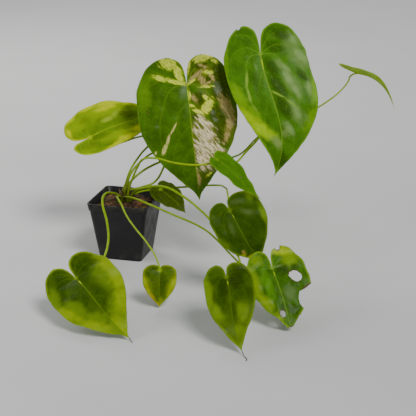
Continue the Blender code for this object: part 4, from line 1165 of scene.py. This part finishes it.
def bladeUpper(name, leaf):
    material, shader = newMaterial(name + "Upper")
    left, along, share = parts(readLayer(shader, "bladePlace"))
    vein, rim, cut = parts(readLayer(shader, "bladeGaps"))
    flat = addNode("CombineXYZ", {0: left, 1: along}).outputs[0]
    broad = noiseOf(flat, 0.045)
    small = noiseOf(flat, 0.22, 4.0, 0.6)
    colour = mixColour(softStep(broad, 0.36, 0.66), leaf["deep"], leaf["body"])
    colour = mixColour(softStep(vein, 0.8, 5.0, 0.4, 0.0), colour, leaf["body"])
    colour = mixColour(softStep(shifted(share, broad, 0.3), *leaf["tipShare"]), colour, leaf["tip"])
    inward = shifted(rim, broad, leaf["rimRagged"] * 2)
    colour = mixColour(softStep(inward, 0.0, leaf["rimWidth"], leaf["rimShow"], 0.0), colour, leaf["rim"])
    for washColour, spots in leaf["washes"]:
        colour = paintWash(flat, colour, washColour, spots)
    colour = mixColour(softStep(small, 0.3, 0.75, 0.0, 0.25), colour, leaf["deep"])
    for patch in leaf["patches"]:
        colour = paintPatch(flat, colour, *patch)
    net = veinNet(vectorSums("ADD", flat, noiseOf(flat, 0.3, 2.0, output="Color")), 0.30, 0.14)
    colour = mixColour(times(net, bladeLook["net"]), colour, leaf["vein"])
    sideLine = softStep(vein, 0.4, 1.1, leaf["veinShow"] * bladeLook["sideVeins"], 0.0)
    colour = mixColour(sideLine, colour, leaf["vein"])
    middle = softStep(sums("ABSOLUTE", left), 0.3, 0.9, leaf["veinShow"], 0.0)
    ends = times(softStep(share, 0.0, 0.02), softStep(share, 0.6, 1.0, 1.0, 0.3))
    colour = mixColour(times(middle, ends), colour, leaf["vein"])
    navel = vectorSums("LENGTH", flat, output="Value")
    colour = mixColour(softStep(navel, 1.0, 5.0, 0.7, 0.0), colour, leaf["vein"])
    addBump(shader, plus(times(net, -0.5), times(small, 0.9)), 0.0004, leaf["grain"])
    rough = softStep(broad, 0.3, 0.7, leaf["roughness"] - 0.06, leaf["roughness"] + 0.08)
    plug(shader, {"Base Color": tornEdge(colour, cut), "Roughness": rough, "Coat Weight": leaf["coat"],
                  "Coat Roughness": bladeLook["coatRoughness"], "Specular IOR Level": leaf["gloss"],
                  "Subsurface Weight": 0.12, **flesh})
    return material


# How deep a point lies in the soft spots; a spot stays on its own side of the midrib
def spotMask(flat, spots):
    across = parts(flat)[0]
    leftSide = softStep(across, -0.4, 0.4)
    rightSide = softStep(across, -0.4, 0.4, 1.0, 0.0)
    mask = 0.0
    for left, along, width, depth, turn, strength in spots:
        own = addNode("Mapping", {
            "Vector": flat, "Location": (left, along, 0.0), "Rotation": (0.0, 0.0, math.radians(turn)),
            "Scale": (width, depth, 1.0)}, vector_type="TEXTURE").outputs["Vector"]
        away = vectorSums("LENGTH", own, output="Value")
        inside = softStep(away, 0.2, 1.45, strength, 0.0)
        inside = times(inside, leftSide if left > 0 else rightSide)
        mask = sums("MAXIMUM", inside, mask)
    return mask


def paintWash(flat, colour, washColour, spots):
    cloud = noiseOf(flat, 0.11, 5.0, 0.66)
    mask = shifted(spotMask(flat, spots), cloud, 1.1)
    return mixColour(softStep(mask, 0.05, 0.95), colour, washColour)


# Ragged patches of two colours in a soft halo, drawn out in streaks; the streaks head this many degrees
# from straight out of the midrib towards the tip, or towards the top of the lobes
def paintPatch(flat, colour, darker, paler, ragged, fine, heading, spots):
    folded = vectorSums("ABSOLUTE", flat)
    turned = addNode("Mapping", {"Vector": folded, "Rotation": (0.0, 0.0, math.radians(-heading))})
    stretched = vectorSums("MULTIPLY", turned.outputs["Vector"], (fine * 0.25, fine, 1.0))
    streak = noiseOf(stretched, 1.0, 5.0, 0.62)
    spot = spotMask(flat, spots)
    inside = softStep(spot, 0.0, 0.25)
    mask = shifted(spot, streak, ragged)
    halo = times(softStep(mask, 0.05, 0.50, 0.0, 0.45), inside)
    patch = times(softStep(mask, 0.38, 0.60), inside)
    tone = softStep(noiseOf(stretched, 1.7, 3.0, 0.6), 0.36, 0.56)
    colour = mixColour(halo, colour, darker)
    return mixColour(patch, colour, mixColour(tone, darker, paler))


def bladeUnder(name, leaf):
    material, shader = newMaterial(name + "Under")
    spot = readLayer(shader, "bladePlace")
    vein, rim, cut = parts(readLayer(shader, "bladeGaps"))
    broad = noiseOf(spot, 0.05)
    colour = mixColour(softStep(broad, 0.35, 0.65), leaf["under"], shaded(leaf["under"], 0.7))
    colour = mixColour(softStep(rim, 0.0, leaf["rimWidth"], 0.5, 0.0), colour, leaf["rim"])
    colour = mixColour(softStep(vein, 0.6, 1.5, 0.7, 0.0), colour, leaf["vein"])
    addBump(shader, veinNet(spot, 0.32, 0.2), 0.0003, 0.4)
    plug(shader, {"Base Color": tornEdge(colour, cut), "Roughness": bladeLook["underRoughness"],
                  "Specular IOR Level": bladeLook["underGloss"], "Subsurface Weight": 0.12, **flesh})
    return material


stalkLook = {"foot": (0.11, 0.15, 0.002), "middle": (0.26, 0.42, 0.0), "top": (0.44, 0.62, 0.0),
             "fleck": (0.10, 0.05, 0.005), "roughness": 0.42, "gloss": 0.2, "dryTip": (0.05, 0.032, 0.012)}


def stalkMaterial():
    material, shader = newMaterial("leafStalk")
    along = readLayer(shader, "alongStalk", "Fac")
    where = ownPlace(shader)
    mottle = noiseOf(where, 130.0)
    flecks = noiseOf(where, 900.0, 2.0)
    colour = mixColour(softStep(along, 0.02, 0.30), stalkLook["foot"], stalkLook["middle"])
    colour = mixColour(softStep(along, 0.30, 0.95), colour, stalkLook["top"])
    colour = mixColour(softStep(mottle, 0.35, 0.8, 0.0, 0.35), colour, stalkLook["foot"])
    colour = mixColour(softStep(flecks, 0.66, 0.74, 0.0, 0.5), colour, stalkLook["fleck"])
    addBump(shader, noiseOf(where, 700.0), 0.0002, 0.35)
    plug(shader, {"Base Color": colour, "Roughness": stalkLook["roughness"],
                  "Specular IOR Level": stalkLook["gloss"], "Subsurface Weight": 0.1, **flesh})
    return material


def stalkMesh(leaf, bladeMatrix, notch):
    footRadius, endRadius = leaf["stalk"]
    bearing = math.radians(leaf["foot"])
    ring, floor = stalkShape["rings"][leaf["ring"]]
    points = [place(math.cos(bearing) * reach, math.sin(bearing) * reach, floor + rise)
              for reach, rise in ((ring, 0.0), (ring * 1.12, 0.008))]
    points += [place(*point) for point in leaf["route"]]
    count = len(points)
    radii = [footRadius + (endRadius - footRadius) * index / count for index in range(count)]
    turned = bladeMatrix.to_3x3()
    knee = stalkShape["knee"]
    points.append(notch - turned @ Vector((0.0, 0.0, knee)))
    radii.append(endRadius * stalkShape["kneeSize"])
    sunkRows = [(knee, 1.05)] + [(leaf["length"] * share, size) for share, size in stalkShape["midrib"]]
    for y, size in sunkRows:
        radii.append(endRadius * size)
        sunk = Vector((0.0, 0.0, endRadius * size + touch))
        points.append(notch + turned @ (bladeBend(leaf, 0.0, y, 0.0) - sunk))
    tube = roundTube(points, radii, 8, 16)
    samples = stalkShape["samples"]
    total = len(points) * samples
    tree = KDTree(total)
    for step in range(total):
        at = step / samples * (len(points) - 1) / len(points)
        tree.insert(alongCurve(points, at), step)
    tree.balance()
    layer = tube.verts.layers.float.new("alongStalk")
    for vert in tube.verts:
        vert[layer] = tree.find(vert.co)[1] / total
    return tube


def makeLeaf(name, values, stalkPaints):
    leaf = {**leafBase, **values}
    leaf["length"] = (Vector(leaf["point"]) - Vector(leaf["notch"])).length
    matrix, notch = bladeFrame(leaf)
    blade = bladeMesh(leaf)
    if leaf["cuts"]:
        blade = cutAway(blade, bladeCutters(leaf))
    markBlade(leaf, blade)
    bmesh.ops.transform(blade, matrix=Matrix.Translation(notch) @ matrix, verts=blade.verts)
    joinInto(blade, stalkMesh(leaf, matrix, notch), 2)
    if leaf["thread"]:
        start = bladeBend(leaf, 0.0, leaf["length"] - dryThread["inside"], 0.0)
        points = [notch + matrix.to_3x3() @ start] + [place(*point) for point in leaf["thread"]]
        joinInto(blade, roundTube(points, dryThread["radii"], 6, 8), 3)
    paints = [bladeUpper(name, leaf), bladeUnder(name, leaf), *stalkPaints]
    dress(meshObject("dressed_" + name, blade, paints), leaf["slot"], name)


view = {"target": (0.1312, 0.0, 0.0762), "distance": 2.2, "elevation": 19, "width": 0.6656, "sensor": 36}


def makeCamera():
    lift = math.radians(view["elevation"])
    target = place(*view["target"])
    back = place(0.0, -math.cos(lift), math.sin(lift))
    camera = addObject("camera", bpy.data.cameras.new("camera"))
    camera.data.sensor_width = view["sensor"]
    camera.data.lens = view["sensor"] * view["distance"] / view["width"]
    camera.location = target + back * view["distance"]
    camera.rotation_euler = (-back).to_track_quat("-Z", "Y").to_euler()
    bpy.context.scene.camera = camera


studio = {
    "aim": (0.14, 0.0, 0.15),   # where every lamp points
    "world": {"Color": (0.75, 0.78, 0.80, 1.0), "Strength": 0.31},
    "floorSize": 7.0, "floorDark": (0.69, 0.69, 0.68), "floorPale": (0.72, 0.72, 0.71),
    "floorRoughness": 0.75,
    # the kind, place and settings of each lamp
    "lamps": {
        "skyLight": ("SUN", (0.9, -1.2, 1.7), {"energy": 2.1, "angle": math.radians(22)}),
        "sideLamp": ("AREA", (-1.5, -0.6, 1.0), {"energy": 8, "size": 0.9, "color": (0.98, 1.0, 1.0)}),
        "backLamp": ("AREA", (-0.6, 1.5, 1.3), {"energy": 12, "size": 1.0, "color": (1.0, 1.0, 0.97)}),
    },
}


def makeStudio():
    floor = bmesh.new()
    bmesh.ops.create_grid(floor, x_segments=1, y_segments=1, size=studio["floorSize"])
    material, shader = newMaterial("paleFloor")
    shade = softStep(noiseOf(ownPlace(shader), 3.0, 2.0), 0.3, 0.7)
    plug(shader, {"Base Color": mixColour(shade, studio["floorDark"], studio["floorPale"]),
                  "Roughness": studio["floorRoughness"]})
    meshObject("floor", floor, [material])
    world = bpy.data.worlds.new("studio")
    world.use_nodes = True
    plug(world.node_tree.nodes["Background"], studio["world"])
    bpy.context.scene.world = world
    aim = place(*studio["aim"])
    for name, (kind, seat, settings) in studio["lamps"].items():
        lamp = addObject(name, bpy.data.lights.new(name, kind))
        for setting, value in settings.items():
            setattr(lamp.data, setting, value)
        lamp.location = place(*seat)
        lamp.rotation_euler = (aim - lamp.location).to_track_quat("-Z", "Y").to_euler()


makeCamera()
makeStudio()
print("camera, floor and lamps ready")
makePot()
makeMix()
makeStem()
stalkPaints = [stalkMaterial(), plainBark("dryTip", stalkLook["dryTip"], 0.6)]
for leafName, leafValues in leaves.items():
    makeLeaf(leafName, leafValues, stalkPaints)
